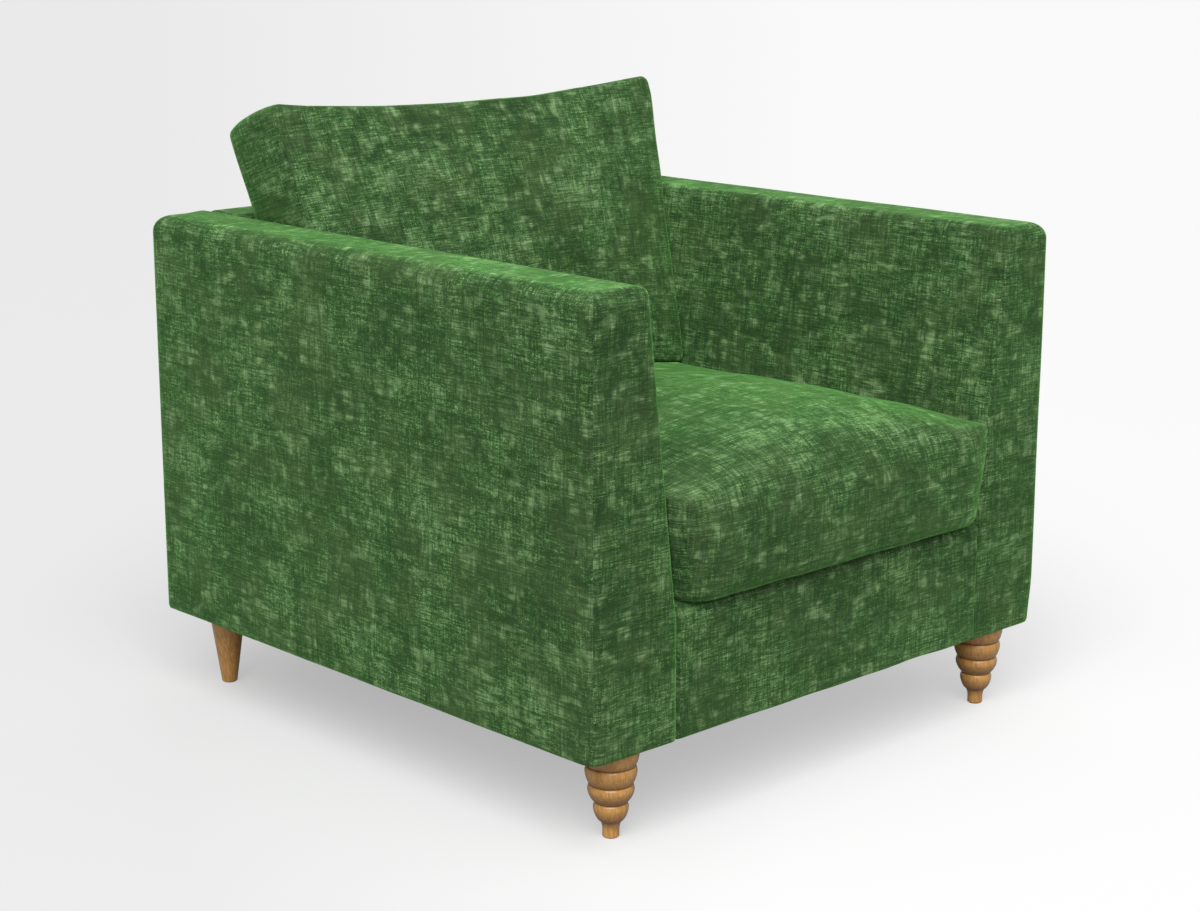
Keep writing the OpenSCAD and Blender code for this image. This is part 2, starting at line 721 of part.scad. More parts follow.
module seat_zip_slider() color(steel)
    translate([zip_half_l - slider_w, y_seat_rear + tape_t + soft_gap, z_zip]) {
        difference() {
            block([-slider_w / 2, 0, -slider_h / 2], [slider_w / 2, slider_t, slider_h / 2]);
            block([-slider_w, -cut, -teeth_w / 2 - soft_gap], [slider_w, teeth_t, teeth_w / 2 + soft_gap]);
        }
        block([-slider_w / 4, slider_t - tab_t, -slider_h / 2 - tab_l],
            [slider_w / 4, slider_t, -slider_h / 2]);
    }

// Back cushion, drawn in its own lean: u across, w up its height, t from its front seam to its rear
z_back_foot = seat_top(0, y_back_foot) + rest_gap;
function back_half_w(z) = min(arm_inside_x(z) - soft_gap, back_cushion_w / 2);

// The rear panel's crown reaches back to the rounded top edge that it leans on
edge_reach = (back_reach + back_inner_r) * cos(back_lean)
    - (z_top - back_inner_r - z_back_foot) * sin(back_lean) - back_inner_r;
back_rear_crown = edge_reach - back_border - rest_gap;

// The bottom seam sinks towards its ends, where the seat's crown is lower, and rests lightest there
foot_ease = 1.5;
function foot_gap(u) = rest_gap * (1 + foot_ease * u * u);
function foot_drop(u) = z_back_foot - foot_gap(u) - seat_top(u * back_half_w(z_back_foot), y_back_foot);
function back_point(u, w, t) = let (
    up = w * (back_cushion_h - back_dip * (1 - u * u)) - foot_drop(u) * pow(1 - w, 2),
    y = y_back_foot + up * sin(back_lean) + t * cos(back_lean),
    z = z_back_foot + up * cos(back_lean) - t * sin(back_lean),
    x = u * back_half_w(z)) [x, y, max(z, seat_top(x, y) + foot_gap(u))];

back_outline = ring_outline(
    14, 10, 4, 2 * back_corner_r / back_cushion_w, 2 * back_corner_r / back_cushion_h);
function swell(u, v) = (1 - pow(abs(u), crown_power)) * (1 - pow(abs(v), crown_power));

// Ring of the back cushion, a share of the way out, with a crown over its thickness at that side
function back_ring(share, t, crown) = [for (p = back_outline * share)
    back_point(p[0], (1 + p[1]) / 2, t + crown * swell(p[0], p[1]))];
back_shares = [0.1, 0.26, 0.42, 0.58, 0.72, 0.84, 0.93];
seam_share = 0.985;
seam_r = 9;

module back_cushion_cover() color(green) difference() {
    ring_solid(
        concat(
            [for (share = back_shares) back_ring(share, 0, -back_front_crown)],
            [back_ring(seam_share, 0, 0), back_ring(1, seam_r, 0), back_ring(1, back_border - seam_r, 0),
             back_ring(seam_share, back_border, 0)],
            [for (k = [len(back_shares) - 1:-1:0])
                back_ring(back_shares[k], back_border, back_rear_crown)]),
        back_point(0, 0.5, -back_front_crown),
        back_point(0, 0.5, back_border + back_rear_crown));
    back_cushion_core_form();
}

// Distances of the core from the back cushion's faces, its sides and its foot
back_core_gap = 18;
back_core_side = 30;
back_core_foot = 43;

module back_cushion_core_form() {
    half_w = x_in_base - back_core_side;
    high = back_cushion_h - back_dip - 2 * back_core_gap;
    translate([0, y_back_foot, z_back_foot]) rotate([-back_lean, 0, 0])
        block([-half_w, back_core_gap, back_core_foot], [half_w, back_border - back_core_gap, high]);
}

module back_cushion_core() color(foam) back_cushion_core_form();

base_front();
base_back();
base_side(true);  // base_left
base_side(false);  // base_right
base_brace();
front_rail();
back_rail();
side_rail(true);  // side_rail_left
side_rail(false);  // side_rail_right
corner_blocks();
front_post(true);  // front_post_left
front_post(false);  // front_post_right
back_post(true);  // back_post_left
back_post(false);  // back_post_right
arm_mid_post(true);  // arm_mid_post_left
arm_mid_post(false);  // arm_mid_post_right
arm_top_rail(true);  // arm_top_rail_left
arm_top_rail(false);  // arm_top_rail_right
arm_tack_rail(true);  // arm_tack_rail_left
arm_tack_rail(false);  // arm_tack_rail_right
back_top_rail();
back_tack_rail();
back_mid_post();
seat_springs();
spring_clips();
back_webs();
arm_board(true);  // arm_board_left
arm_board(false);  // arm_board_right
back_board();
back_wadding();
arm_foam(true);  // arm_foam_left
arm_foam(false);  // arm_foam_right
back_foam();
panel_foam();
deck_pad();
arm_cover(true);  // arm_cover_left
arm_cover(false);  // arm_cover_right
back_cover();
outside_back_cover();
panel_cover();
deck_cover();
dust_cover();
front_leg(true);  // front_leg_left
front_leg(false);  // front_leg_right
back_leg(true);  // back_leg_left
back_leg(false);  // back_leg_right
leg_bolts();
insert_nuts();
corner_screws();
seat_cushion_cover();
seat_cushion_core();
seat_zip();
seat_zip_slider();
back_cushion_cover();
back_cushion_core();
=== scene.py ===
"""An upholstered armchair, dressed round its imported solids.

The padded pieces are drawn, filled and covered here, in metres, in the solids' own frame: +Z up, front -Y.
The hard pieces keep their solids and get their finishes.
"""

import json
import logging
import math
from dataclasses import dataclass
from enum import Enum
from typing import NamedTuple

import bpy
import numpy as np
from mathutils import Matrix, Vector


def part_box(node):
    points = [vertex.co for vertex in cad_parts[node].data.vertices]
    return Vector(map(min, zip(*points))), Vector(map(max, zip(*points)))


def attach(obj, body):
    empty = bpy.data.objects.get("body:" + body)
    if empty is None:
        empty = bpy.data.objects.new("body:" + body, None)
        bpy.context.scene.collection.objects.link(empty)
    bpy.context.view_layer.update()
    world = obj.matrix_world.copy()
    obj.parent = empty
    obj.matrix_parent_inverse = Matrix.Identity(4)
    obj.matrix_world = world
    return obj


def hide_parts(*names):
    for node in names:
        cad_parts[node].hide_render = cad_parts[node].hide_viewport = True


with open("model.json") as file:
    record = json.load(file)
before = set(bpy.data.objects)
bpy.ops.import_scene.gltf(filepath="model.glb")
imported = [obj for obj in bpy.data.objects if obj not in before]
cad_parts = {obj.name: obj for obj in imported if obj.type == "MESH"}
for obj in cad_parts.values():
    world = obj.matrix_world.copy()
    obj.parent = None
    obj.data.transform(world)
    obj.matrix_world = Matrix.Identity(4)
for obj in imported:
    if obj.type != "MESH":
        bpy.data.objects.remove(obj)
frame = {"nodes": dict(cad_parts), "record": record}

LOG = logging.getLogger("armchair")
Array = np.ndarray
Socket = bpy.types.NodeSocket
Colour = tuple[float, float, float]
MM = 0.001
TINY = 1e-9
CLOTH = "cloth"
# Name of the seam mask, which darkens the cloth's colour in its seams as painted shade.
SEAM_SHADE = "seam"


class Side(Enum):
    """A side of a padded form: the axis across it, and whether it is that axis's high end."""

    LEFT = (0, False)
    RIGHT = (0, True)
    FRONT = (1, False)
    REAR = (1, True)
    BOTTOM = (2, False)
    TOP = (2, True)


class Hand(Enum):
    """Which arm of the chair a piece belongs to, as the sign of its x."""

    LEFT = -1
    RIGHT = 1

    @property
    def word(self) -> str:
        """The hand's word in a piece's name."""
        return self.name.lower()


# Nets and forms


def rows(*columns: Array) -> Array:
    """Sets columns side by side."""
    return np.stack(columns, axis=1)


def meshes_of(sheet: Array) -> Array:
    """Four-cornered meshes over a sheet of knots."""
    corners = (sheet[:-1, :-1], sheet[1:, :-1], sheet[1:, 1:], sheet[:-1, 1:])
    return np.stack(corners, axis=-1).reshape(-1, 4)


class Net:
    """Net of four-cornered meshes over the six sides of a block, from which a padded form is drawn.

    share holds each knot's place from -1 to 1 along the three axes.
    """

    def __init__(self, counts: tuple[int, int, int], crowd: float = 0.0) -> None:
        """Lays the net out.

        Args:
            counts: Meshes along each axis.
            crowd: How much the lines crowd towards the edges, from 0 for even to 1.
        """
        index = np.indices([n + 1 for n in counts])
        top = np.array(counts)[:, None, None, None]
        on_side = ((index == 0) | (index == top)).any(axis=0)
        self.knots = np.full(on_side.shape, -1)
        self.knots[on_side] = np.arange(on_side.sum())
        even = np.argwhere(on_side) / np.array(counts) * 2 - 1
        self.share = (1 - crowd) * even + crowd * np.sin(even * math.pi / 2)
        quads, sides = [], []
        for number, side in enumerate(Side):
            axis, high = side.value
            order = [axis, (axis + 1) % 3, (axis + 2) % 3]
            sheet = np.moveaxis(self.knots, order, [0, 1, 2])[-1 if high else 0]
            quad = meshes_of(sheet)
            quads.append(quad if high else quad[:, ::-1])
            sides.append(np.full(len(quad), number))
        self.quads = np.concatenate(quads)
        self.sides = np.concatenate(sides)

    def flow(self, points: Array) -> Array:
        """Way along the cloth from the front's lower edge, up the front and back over the top.

        Args:
            points: The drawn knots.

        Returns:
            For each knot of the front and the top, its distance along its own line of the cloth.
        """
        lines = np.concatenate([self.knots[:, 0, :], self.knots[:, 1:, -1]], axis=1)
        steps = np.linalg.norm(np.diff(points[lines], axis=1), axis=2)
        along = np.zeros(len(points))
        along[lines[:, 1:]] = np.cumsum(steps, axis=1)
        return along

    def edge_gap(self, halves: tuple[float, float, float]) -> Array:
        """Distance of each knot from the nearest edge of a block with these half sizes."""
        gaps = (1 - np.abs(self.share)) * np.array(halves)
        return np.sort(gaps, axis=1)[:, 1]


def round_corners(share: Array, half: Array, radius: Array) -> Array:
    """Places points of a rectangle so that its outline gets round corners.

    Args:
        share: Places from -1 to 1 in the rectangle, one row for each point.
        half: Half its width and depth at each point.
        radius: Radius of the corner nearest each point.

    Returns:
        The points' places from the rectangle's middle.
    """
    reach = np.maximum(np.abs(share).max(axis=1, keepdims=True), TINY)
    edge = share / reach * half
    inner = half - radius[:, None]
    core = np.clip(edge, -inner, inner)
    off = edge - core
    length = np.linalg.norm(off, axis=1, keepdims=True)
    in_corner = (np.abs(edge) > inner).all(axis=1, keepdims=True)
    rounded = core + off * radius[:, None] / np.maximum(length, TINY)
    return share * half + np.where(in_corner, rounded - edge, 0.0) * reach**5


def wall(share: Array, low: float, high: float, low_r: float, high_r: Array | float) -> tuple[Array, Array]:
    """Follows a wall from its lower rounded edge to its upper one.

    Args:
        share: Way along the wall, from -1 at its lower end to 1 at its upper end.
        low, high: Heights of the wall's ends.
        low_r: Radius of its lower edge.
        high_r: Radius of its upper edge, one for all or one for each place.

    Returns:
        The height and how far the wall has drawn in, at each place.
    """
    low_arc, high_arc = low_r * math.pi / 2, high_r * math.pi / 2
    straight = high - low - low_r - high_r
    way = (share + 1) / 2 * (low_arc + straight + high_arc)
    low_turn = np.clip(way / max(low_r, TINY), 0, math.pi / 2)
    high_turn = np.clip((way - low_arc - straight) / np.maximum(high_r, TINY), 0, math.pi / 2)
    height = low + low_r * (1 - np.cos(low_turn)) + np.clip(way - low_arc, 0, straight)
    height = height + high_r * np.sin(high_turn)
    return height, low_r * (1 - np.sin(low_turn)) + high_r * (1 - np.cos(high_turn))


def smooth(value: Array, low: float, high: float) -> Array:
    """Rises softly from 0 at low to 1 at high."""
    t = np.clip((value - low) / (high - low), 0, 1)
    return t * t * (3 - 2 * t)


def swell(u: Array, v: Array, power: float) -> Array:
    """Filling's rise over a panel: 1 in its middle and 0 along its edges."""
    return (1 - np.abs(u) ** power) * (1 - np.abs(v) ** power)


def normals_of(points: Array, quads: Array) -> Array:
    """Finds the outward normal at each knot, from the meshes round it.

    Args:
        points: The knots.
        quads: For each mesh, the numbers of its corners.

    Returns:
        One normal for each knot.
    """
    a, b, c, d = (points[quads[:, k]] for k in range(4))
    facing = np.cross(c - a, d - b)
    total = np.zeros_like(points)
    for k in range(4):
        np.add.at(total, quads[:, k], facing)
    return total / np.maximum(np.linalg.norm(total, axis=1, keepdims=True), TINY * MM)


def relax(points: Array, quads: Array, weight: Array, rounds: int) -> Array:
    """Evens a form out by drawing each knot towards its neighbours.

    Args:
        points: The knots.
        quads: The meshes.
        weight: How far each knot goes, from 0 to 1.
        rounds: How often.

    Returns:
        The evened knots.
    """
    pairs = np.concatenate([quads[:, [k, (k + 1) % 4]] for k in range(4)])
    count = np.bincount(pairs[:, 0], minlength=len(points))[:, None]
    for _ in range(rounds):
        total = np.zeros_like(points)
        np.add.at(total, pairs[:, 0], points[pairs[:, 1]])
        points = points + (total / count - points) * weight[:, None]
    return points


def ripple(points: Array, length: float, seed: int) -> Array:
    """Soft unevenness from about -1 to 1, of a few waves that cross.

    Args:
        points: Where it is wanted.
        length: Usual length of a wave.
        seed: Chooses the waves.

    Returns:
        One height for each point.
    """
    waves, spread = 7, (0.7, 1.6)
    rng = np.random.default_rng(seed)
    total = np.zeros(len(points))
    for _ in range(waves):
        way = rng.normal(size=3)
        way /= np.linalg.norm(way)
        pitch = length * rng.uniform(*spread)
        total += np.sin(points @ way * (2 * math.pi / pitch) + rng.uniform(0, 2 * math.pi))
    return total / waves**0.5


@dataclass(frozen=True)
class BodyPlan:
    """Faces of the upholstered body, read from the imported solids."""

    out_x: float
    front: float
    back: float
    under: float
    top: float
    deck: float
    arm_low_x: float
    arm_top_x: float
    inside_back: float
    dust_x: float
    dust_front: float
    dust_back: float
    dust_top: float

    @classmethod
    def from_frame(cls) -> "BodyPlan":
        """Reads the faces from the covers' solids.

        Returns:
            The plan, in metres.
        """
        arm_low, arm_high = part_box("arm_cover_right")
        back_low, back_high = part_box("back_cover")
        dust_low, dust_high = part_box("dust_cover")
        return cls(
            out_x=arm_high.x,
            front=arm_low.y,
            back=arm_high.y,
            under=arm_low.z,
            top=arm_high.z,
            deck=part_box("deck_cover")[1].z,
            arm_low_x=arm_low.x,
            arm_top_x=back_high.x,
            inside_back=back_low.y,
            dust_x=dust_high.x,
            dust_front=dust_low.y,
            dust_back=dust_high.y,
            dust_top=dust_high.z,
        )

    def arm_inside(self, z: Array) -> Array:
        """Distance of an arm's inside face from the chair's middle, at heights z."""
        slope = (self.arm_top_x - self.arm_low_x) / (self.top - self.deck)
        return self.arm_low_x + np.clip(z - self.deck, 0, None) * slope


@dataclass(frozen=True)
class RearTuck:
    """How the covers turn in along the outside back's edge, with room for the outside back inside it."""

    edge: float = 22 * MM
    depth: float = 3.5 * MM
    width: float = 9 * MM
    lap: float = 2 * MM
    backing: float = 12 * MM

    def draw(self, y: Array, past: Array) -> Array:
        """Draws a cover in.

        Args:
            y: Its places from front to back.
            past: How far each place lies outside the outside back's edge.

        Returns:
            The drawn places.
        """
        rear = y > PLAN.back - 1.5 * self.depth
        y = np.where(rear, y - self.depth * (1 - smooth(past, 0, self.width)), y)
        return np.where(rear & (past < -self.lap), np.minimum(y, PLAN.back - self.backing), y)

    def holds(self, y: Array) -> Array:
        """Whether places lie so far back that the tuck holds them."""
        return y > PLAN.back - 1.2 * self.backing


PLAN = BodyPlan.from_frame()
TUCK = RearTuck()


# Shader nodes


class Cells(NamedTuple):
    """Noise over a place: its cells a metre along each axis, its shift, detail and roughness."""

    scales: tuple[float, float, float]
    shift: float = 0.0
    detail: float = 1.0
    roughness: float = 0.5


class NodeBoard:
    """Places and joins shader nodes in one tree."""

    def __init__(self, tree: bpy.types.NodeTree) -> None:
        """Works on the given tree."""
        self.tree = tree

    def add(self, kind: str, wires: dict | None = None, **settings: object) -> bpy.types.Node:
        """Places a node.

        Args:
            kind: The node's type, without its usual beginning.
            wires: Value or socket for each input, by name or number.
            settings: The node's own settings.

        Returns:
            The node.
        """
        node = self.tree.nodes.new("ShaderNode" + kind)
        for name, value in settings.items():
            setattr(node, name, value)
        for name, value in (wires or {}).items():
            if isinstance(value, bpy.types.NodeSocket):
                self.tree.links.new(value, node.inputs[name])
            else:
                node.inputs[name].default_value = value
        return node

    def math(self, operation: str, a: Socket | float, b: Socket | float = 0.0) -> Socket:
        """Joins two values by one operation."""
        return self.add("Math", {0: a, 1: b}, operation=operation).outputs[0]

    def weigh(self, *terms: tuple[Socket | float, float]) -> Socket:
        """Adds values up, each with its own weight.

        Args:
            terms: Pairs of a value and its weight.

        Returns:
            The sum's socket.
        """
        total: Socket | float = 0.0
        for value, weight in terms:
            total = self.add("Math", {0: value, 1: weight, 2: total}, operation="MULTIPLY_ADD").outputs[0]
        return total

    def stretch(self, place: Socket, scales: tuple[float, float, float], shift: float = 0.0) -> Socket:
        """Scales a place along its axes and shifts it."""
        wires = {0: place, 1: scales, 2: (shift, shift * 0.7, shift * 1.3)}
        return self.add("VectorMath", wires, operation="MULTIPLY_ADD").outputs[0]

    def scaled(self, place: Socket, by: Socket) -> Socket:
        """Scales a place evenly by a value."""
        return self.add("VectorMath", {0: place, "Scale": by}, operation="SCALE").outputs[0]

    def noise(self, place: Socket, cells: Cells, output: int | str = 0) -> Socket:
        """Draws noise over a place, about 0.5 in the middle.

        Args:
            place: The place.
            cells: Size, shift and detail of the noise.
            output: Which output is taken, the value or the colour.

        Returns:
            The noise.
        """
        wires = {"Vector": self.stretch(place, cells.scales, cells.shift), "Scale": 1.0,
                 "Detail": cells.detail, "Roughness": cells.roughness}
        return self.add("TexNoise", wires).outputs[output]

    def rise(self, value: Socket, low: float, high: float, turned: bool = False) -> Socket:
        """Draws a soft step from 0 to 1.

        Args:
            value: What is stepped.
            low: Where the step starts.
            high: Where it ends.
            turned: Whether it goes from 1 down to 0 instead.

        Returns:
            The step.
        """
        wires = {"Value": value, "From Min": low, "From Max": high,
                 "To Min": float(turned), "To Max": float(not turned)}
        return self.add("MapRange", wires, interpolation_type="SMOOTHSTEP").outputs[0]

    def line(self, value: Socket, level: float, width: float) -> Socket:
        """1 where a value is close to a level, and 0 elsewhere: thin lines along a noise."""
        away = self.math("ABSOLUTE", self.math("SUBTRACT", value, level))
        return self.rise(away, 0.0, width, turned=True)

    def place(self) -> Socket:
        """Place on the object, in metres."""
        return self.add("TexCoord").outputs["Object"]

    def bump(self, height: Socket, strength: float, distance: float) -> Socket:
        """Normal over a relief."""
        return self.add("Bump", {"Height": height, "Strength": strength, "Distance": distance}).outputs[0]

    def ramp(self, value: Socket, stops: tuple[tuple[float, Colour], ...]) -> Socket:
        """Finds the colour for a value, between stops.

        Args:
            value: The value.
            stops: Place and colour of each stop.

        Returns:
            The colour.
        """
        node = self.add("ValToRGB", {0: value})
        marks = node.color_ramp.elements
        while len(marks) < len(stops):
            marks.new(0.5)
        for mark, (place, colour) in zip(marks, stops):
            mark.position = place
            mark.color = (*colour, 1.0)
        return node.outputs[0]

    def tint(self, factor: Socket, a: Socket | Colour, b: Socket | Colour) -> Socket:
        """Joins two colours by a factor."""
        a, b = (c if isinstance(c, bpy.types.NodeSocket) else (*c, 1.0) for c in (a, b))
        return self.add("Mix", {0: factor, 6: a, 7: b}, data_type="RGBA").outputs[2]

    def layers(self, colour: Socket, *layers: tuple[Socket, float, Colour]) -> Socket:
        """Lays colours over a colour.

        Args:
            colour: The colour below.
            layers: For each one over it, its mask, the mask's share and the colour.

        Returns:
            The colour with all its layers.
        """
        for mask, share, over in layers:
            colour = self.tint(self.math("MULTIPLY", mask, share), colour, over)
        return colour


class Effect(NodeBoard):
    """A board for a node group with named inputs and value outputs."""

    def __init__(self, name: str, **inputs: float | None) -> None:
        """Starts the group.

        Args:
            name: The group's name.
            inputs: Default value of each input, or None where it takes a place.
        """
        super().__init__(bpy.data.node_groups.new(name, "ShaderNodeTree"))
        for key, value in inputs.items():
            kind = "NodeSocketVector" if value is None else "NodeSocketFloat"
            socket = self.tree.interface.new_socket(name=key, in_out="INPUT", socket_type=kind)
            if value is not None:
                socket.default_value = value
        self.given = self.tree.nodes.new("NodeGroupInput").outputs

    def give(self, **values: Socket) -> bpy.types.NodeTree:
        """Puts values out of the group under their names.

        Args:
            values: The values by name.

        Returns:
            The group.
        """
        for key in values:
            self.tree.interface.new_socket(name=key, in_out="OUTPUT", socket_type="NodeSocketFloat")
        result = self.tree.nodes.new("NodeGroupOutput")
        for key, value in values.items():
            self.tree.links.new(value, result.inputs[key])
        return self.tree


@dataclass(frozen=True)
class SlubYarn:
    """Slubbed yarn: patches where thick yarn crosses, wavy threads both ways and uneven dye.

    The cells of its layers run across, down and through the cloth.
    Each edge says where a soft step begins and ends.
    """

    wander: Cells = Cells((7, 7, 7))
    swing: tuple[float, float, float] = (6 * MM, 6 * MM, 0.0)
    dye: Cells = Cells((9, 9, 9), 0.0, 3.0, 0.6)
    mottle: Cells = Cells((46, 58, 30), 3.0, 3.0, 0.6)
    heather: Cells = Cells((780, 780, 20), 47.0, 0.0)
    ends: Cells = Cells((420, 22, 20), 31.0)
    picks: Cells = Cells((18, 600, 20), 41.0)
    short_ends: Cells = Cells((300, 110, 20), 13.0)
    short_picks: Cells = Cells((95, 480, 20), 71.0)
    tall: Cells = Cells((80, 24, 20), 11.0)
    wide: Cells = Cells((24, 100, 20), 23.0)
    area: Cells = Cells((36, 38, 20), 87.0)
    down: Cells = Cells((150, 10, 20), 53.0)
    across: Cells = Cells((9, 180, 20), 67.0)
    bar_edge: tuple[float, float] = (0.44, 0.60)
    area_edge: tuple[float, float] = (0.40, 0.66)
    raised_edge: tuple[float, float] = (0.40, 0.60)
    middle: float = 0.5
    down_w: float = 0.055
    across_w: float = 0.05
    dark: float = 3.02

    def group(self) -> bpy.types.NodeTree:
        """Draws the effect. Its Place is in metres over the cloth.

        Returns:
            Its node group.
        """
        board = Effect("slubbed_yarn", Place=None, Slubs=1.0, Threads=1.0)
        place = board.given["Place"]
        moves = {0: board.noise(place, self.wander, "Color"), 1: self.swing, 2: place}
        wavy = board.add("VectorMath", moves, operation="MULTIPLY_ADD").outputs[0]
        ends, picks, short_ends, short_picks, mottle, down, across = (board.noise(wavy, cells) for cells in (
            self.ends, self.picks, self.short_ends, self.short_picks, self.mottle, self.down, self.across))
        tall, wide = (
            board.rise(board.noise(wavy, cells), *self.bar_edge) for cells in (self.tall, self.wide))
        area = board.rise(board.noise(wavy, self.area), *self.area_edge)
        block = board.math("MULTIPLY", tall, wide)
        patch = board.math("MULTIPLY", area, board.weigh((block, 0.75), (tall, 0.2), (wide, 0.3)))
        threads = board.weigh((ends, 0.2), (picks, 0.3), (short_ends, 0.2), (short_picks, 0.3))
        height = board.weigh((short_picks, 0.6), (short_ends, 0.2), (picks, 0.2))
        raised = board.rise(height, *self.raised_edge)
        slub = board.math("MULTIPLY", patch, board.weigh((raised, 0.5), (1.0, 0.5)))
        lines = board.math("MAXIMUM", board.line(down, self.middle, self.down_w),
                           board.line(across, self.middle, self.across_w))
        dye, heather = (board.noise(place, cells) for cells in (self.dye, self.heather))
        shade = board.weigh((dye, 1.3), (mottle, 1.1), (threads, 3.3), (heather, 1.3))
        return board.give(
            Shade=board.math("SUBTRACT", shade, self.dark),
            Slub=board.math("MULTIPLY", slub, board.given["Slubs"]),
            Line=board.math("MULTIPLY", lines, board.given["Threads"]),
            Relief=board.weigh((threads, 0.9), (slub, 0.4), (lines, -0.3), (heather, 0.4)))


@dataclass(frozen=True)
class PlainWeave:
    """Plain weave: threads that pass over and under each other."""

    uneven: Cells = Cells((90, 90, 90), 0.0, 3.0, 0.7)

    def group(self) -> bpy.types.NodeTree:
        """Draws the effect. Its Pitch is the distance between threads, in metres.

        Returns:
            Its node group.
        """
        board = Effect("plain_weave", Place=None, Pitch=0.001)
        place = board.given["Place"]
        turns = board.scaled(place, board.math("DIVIDE", math.pi, board.given["Pitch"]))
        axes = board.add("SeparateXYZ", {0: turns}).outputs
        across, down = (board.math("SINE", axes[k]) for k in (0, 1))
        return board.give(Relief=board.weigh((board.math("MULTIPLY", across, down), 0.5), (1.0, 0.5)),
                          Shade=board.noise(place, self.uneven))


@dataclass(frozen=True)
class WoodGrain:
    """Wood grain: slightly slanted streaks of late wood, fine pores and slow changes of tone."""

    drift: Cells = Cells((26, 26, 14), 0.0, 2.0)
    slant: float = math.radians(9)
    rings: Cells = Cells((1.0, 1.0, 0.045), 0.0, 3.0, 0.6)
    pores: Cells = Cells((1300, 1300, 60), 5.0, 2.0, 0.6)
    tone: Cells = Cells((30, 30, 12), 9.0, 3.0, 0.6)
    ring_edge: tuple[float, float] = (0.40, 0.66)
    pore_edge: tuple[float, float] = (0.55, 0.75)

    def group(self) -> bpy.types.NodeTree:
        """Draws the effect. Its Place is in metres, with the grain along Z.

        Returns:
            Its node group.
        """
        board = Effect("wood_grain", Place=None, Rings=200.0, Waver=0.004)
        place = board.given["Place"]
        moved = board.scaled(board.noise(place, self.drift, "Color"), board.given["Waver"])
        bent = board.add("VectorMath", {0: place, 1: moved}).outputs[0]
        turn = {"Vector": bent, "Angle": self.slant}
        slanted = board.add("VectorRotate", turn, rotation_type="X_AXIS").outputs[0]
        rings = board.noise(board.scaled(slanted, board.given["Rings"]), self.rings)
        pores = board.noise(slanted, self.pores)
        return board.give(Ring=board.rise(rings, *self.ring_edge), Pore=board.rise(pores, *self.pore_edge),
                          Tone=board.noise(place, self.tone))


class Effects:
    """The node groups that the finishes share, each made once."""

    slub = SlubYarn().group()
    weave = PlainWeave().group()
    grain = WoodGrain().group()


class Finish:
    """A surface finish. Each kind builds its own material."""

    name: str

    def material(self) -> bpy.types.Material:
        """Draws the finish's material on first use.

        Returns:
            The material.
        """
        found = bpy.data.materials.get(self.name)
        if found is None:
            found = bpy.data.materials.new(self.name)
            found.use_nodes = True
            found.node_tree.nodes.clear()
            board = NodeBoard(found.node_tree)
            surface = self.draw(board)
            board.add("OutputMaterial", {"Surface": surface.outputs[0]})
        return found

    def draw(self, board: NodeBoard) -> bpy.types.Node:
        """Draws the finish on a board and returns its shader."""
        raise NotImplementedError


@dataclass(frozen=True)
class Velvet(Finish):
    """Slubbed chenille velvet: dark ground, lighter slubs, and a painted sheen, its colour brightened where
    it is seen edge-on, on top of the shader's own sheen.
    """

    name: str = "slubbed_velvet"
    deep: Colour = (0.014, 0.038, 0.010)
    ground: Colour = (0.035, 0.092, 0.024)
    lit: Colour = (0.066, 0.156, 0.045)
    pale: Colour = (0.190, 0.310, 0.132)
    olive: Colour = (0.050, 0.080, 0.027)
    sheen: Colour = (0.30, 0.95, 0.18)
    # Painted sheen: how much brighter the colour is drawn where the cloth is seen edge-on, and the facing
    # range over which it rises.
    painted_sheen_gain: Colour = (1.35, 1.45, 1.35)
    painted_sheen_edge: tuple[float, float] = (0.45, 0.85)
    ageing: Cells = Cells((11, 13, 10), 80.0, 2.0, 0.6)
    ageing_edge: tuple[float, float] = (0.44, 0.66)
    pitch: float = 0.0011

    def draw(self, board: NodeBoard) -> bpy.types.Node:
        """Draws the velvet.

        Args:
            board: The material's board.

        Returns:
            Its shader.
        """
        place = board.add("Attribute", attribute_name=CLOTH).outputs["Vector"]
        seam = board.add("Attribute", attribute_name=SEAM_SHADE).outputs["Fac"]
        yarn = board.add("Group", {"Place": place}, node_tree=Effects.slub).outputs
        weave = board.add("Group", {"Place": place, "Pitch": self.pitch}, node_tree=Effects.weave).outputs
        aged = board.rise(board.noise(place, self.ageing), *self.ageing_edge)
        stops = ((0.15, self.deep), (0.5, self.ground), (0.8, self.lit), (1.0, self.pale))
        # The seam layer is painted shade: it darkens the colour along the seam creases.
        colour = board.layers(board.ramp(yarn["Shade"], stops), (aged, 0.45, self.olive),
                              (yarn["Slub"], 0.8, self.pale), (yarn["Line"], 0.55, self.deep),
                              (seam, 0.4, self.deep))
        # Painted sheen: Layer Weight's Facing brightens the colour where the cloth is seen edge-on.
        painted_sheen_colour = board.add("VectorMath", {0: colour, 1: self.painted_sheen_gain}, operation="MULTIPLY").outputs[0]
        look = board.add("LayerWeight", {"Blend": 0.5}).outputs["Facing"]
        colour = board.tint(board.rise(look, *self.painted_sheen_edge), colour, painted_sheen_colour)
        relief = board.weigh((yarn["Relief"], 0.85), (weave["Relief"], 0.15))
        return board.add("BsdfPrincipled", {
            "Base Color": colour, "Roughness": 0.86, "Specular IOR Level": 0.2,
            "Normal": board.bump(relief, 0.38, 0.0011),
            "Sheen Weight": 0.38, "Sheen Roughness": 0.42, "Sheen Tint": (*self.sheen, 1.0)})


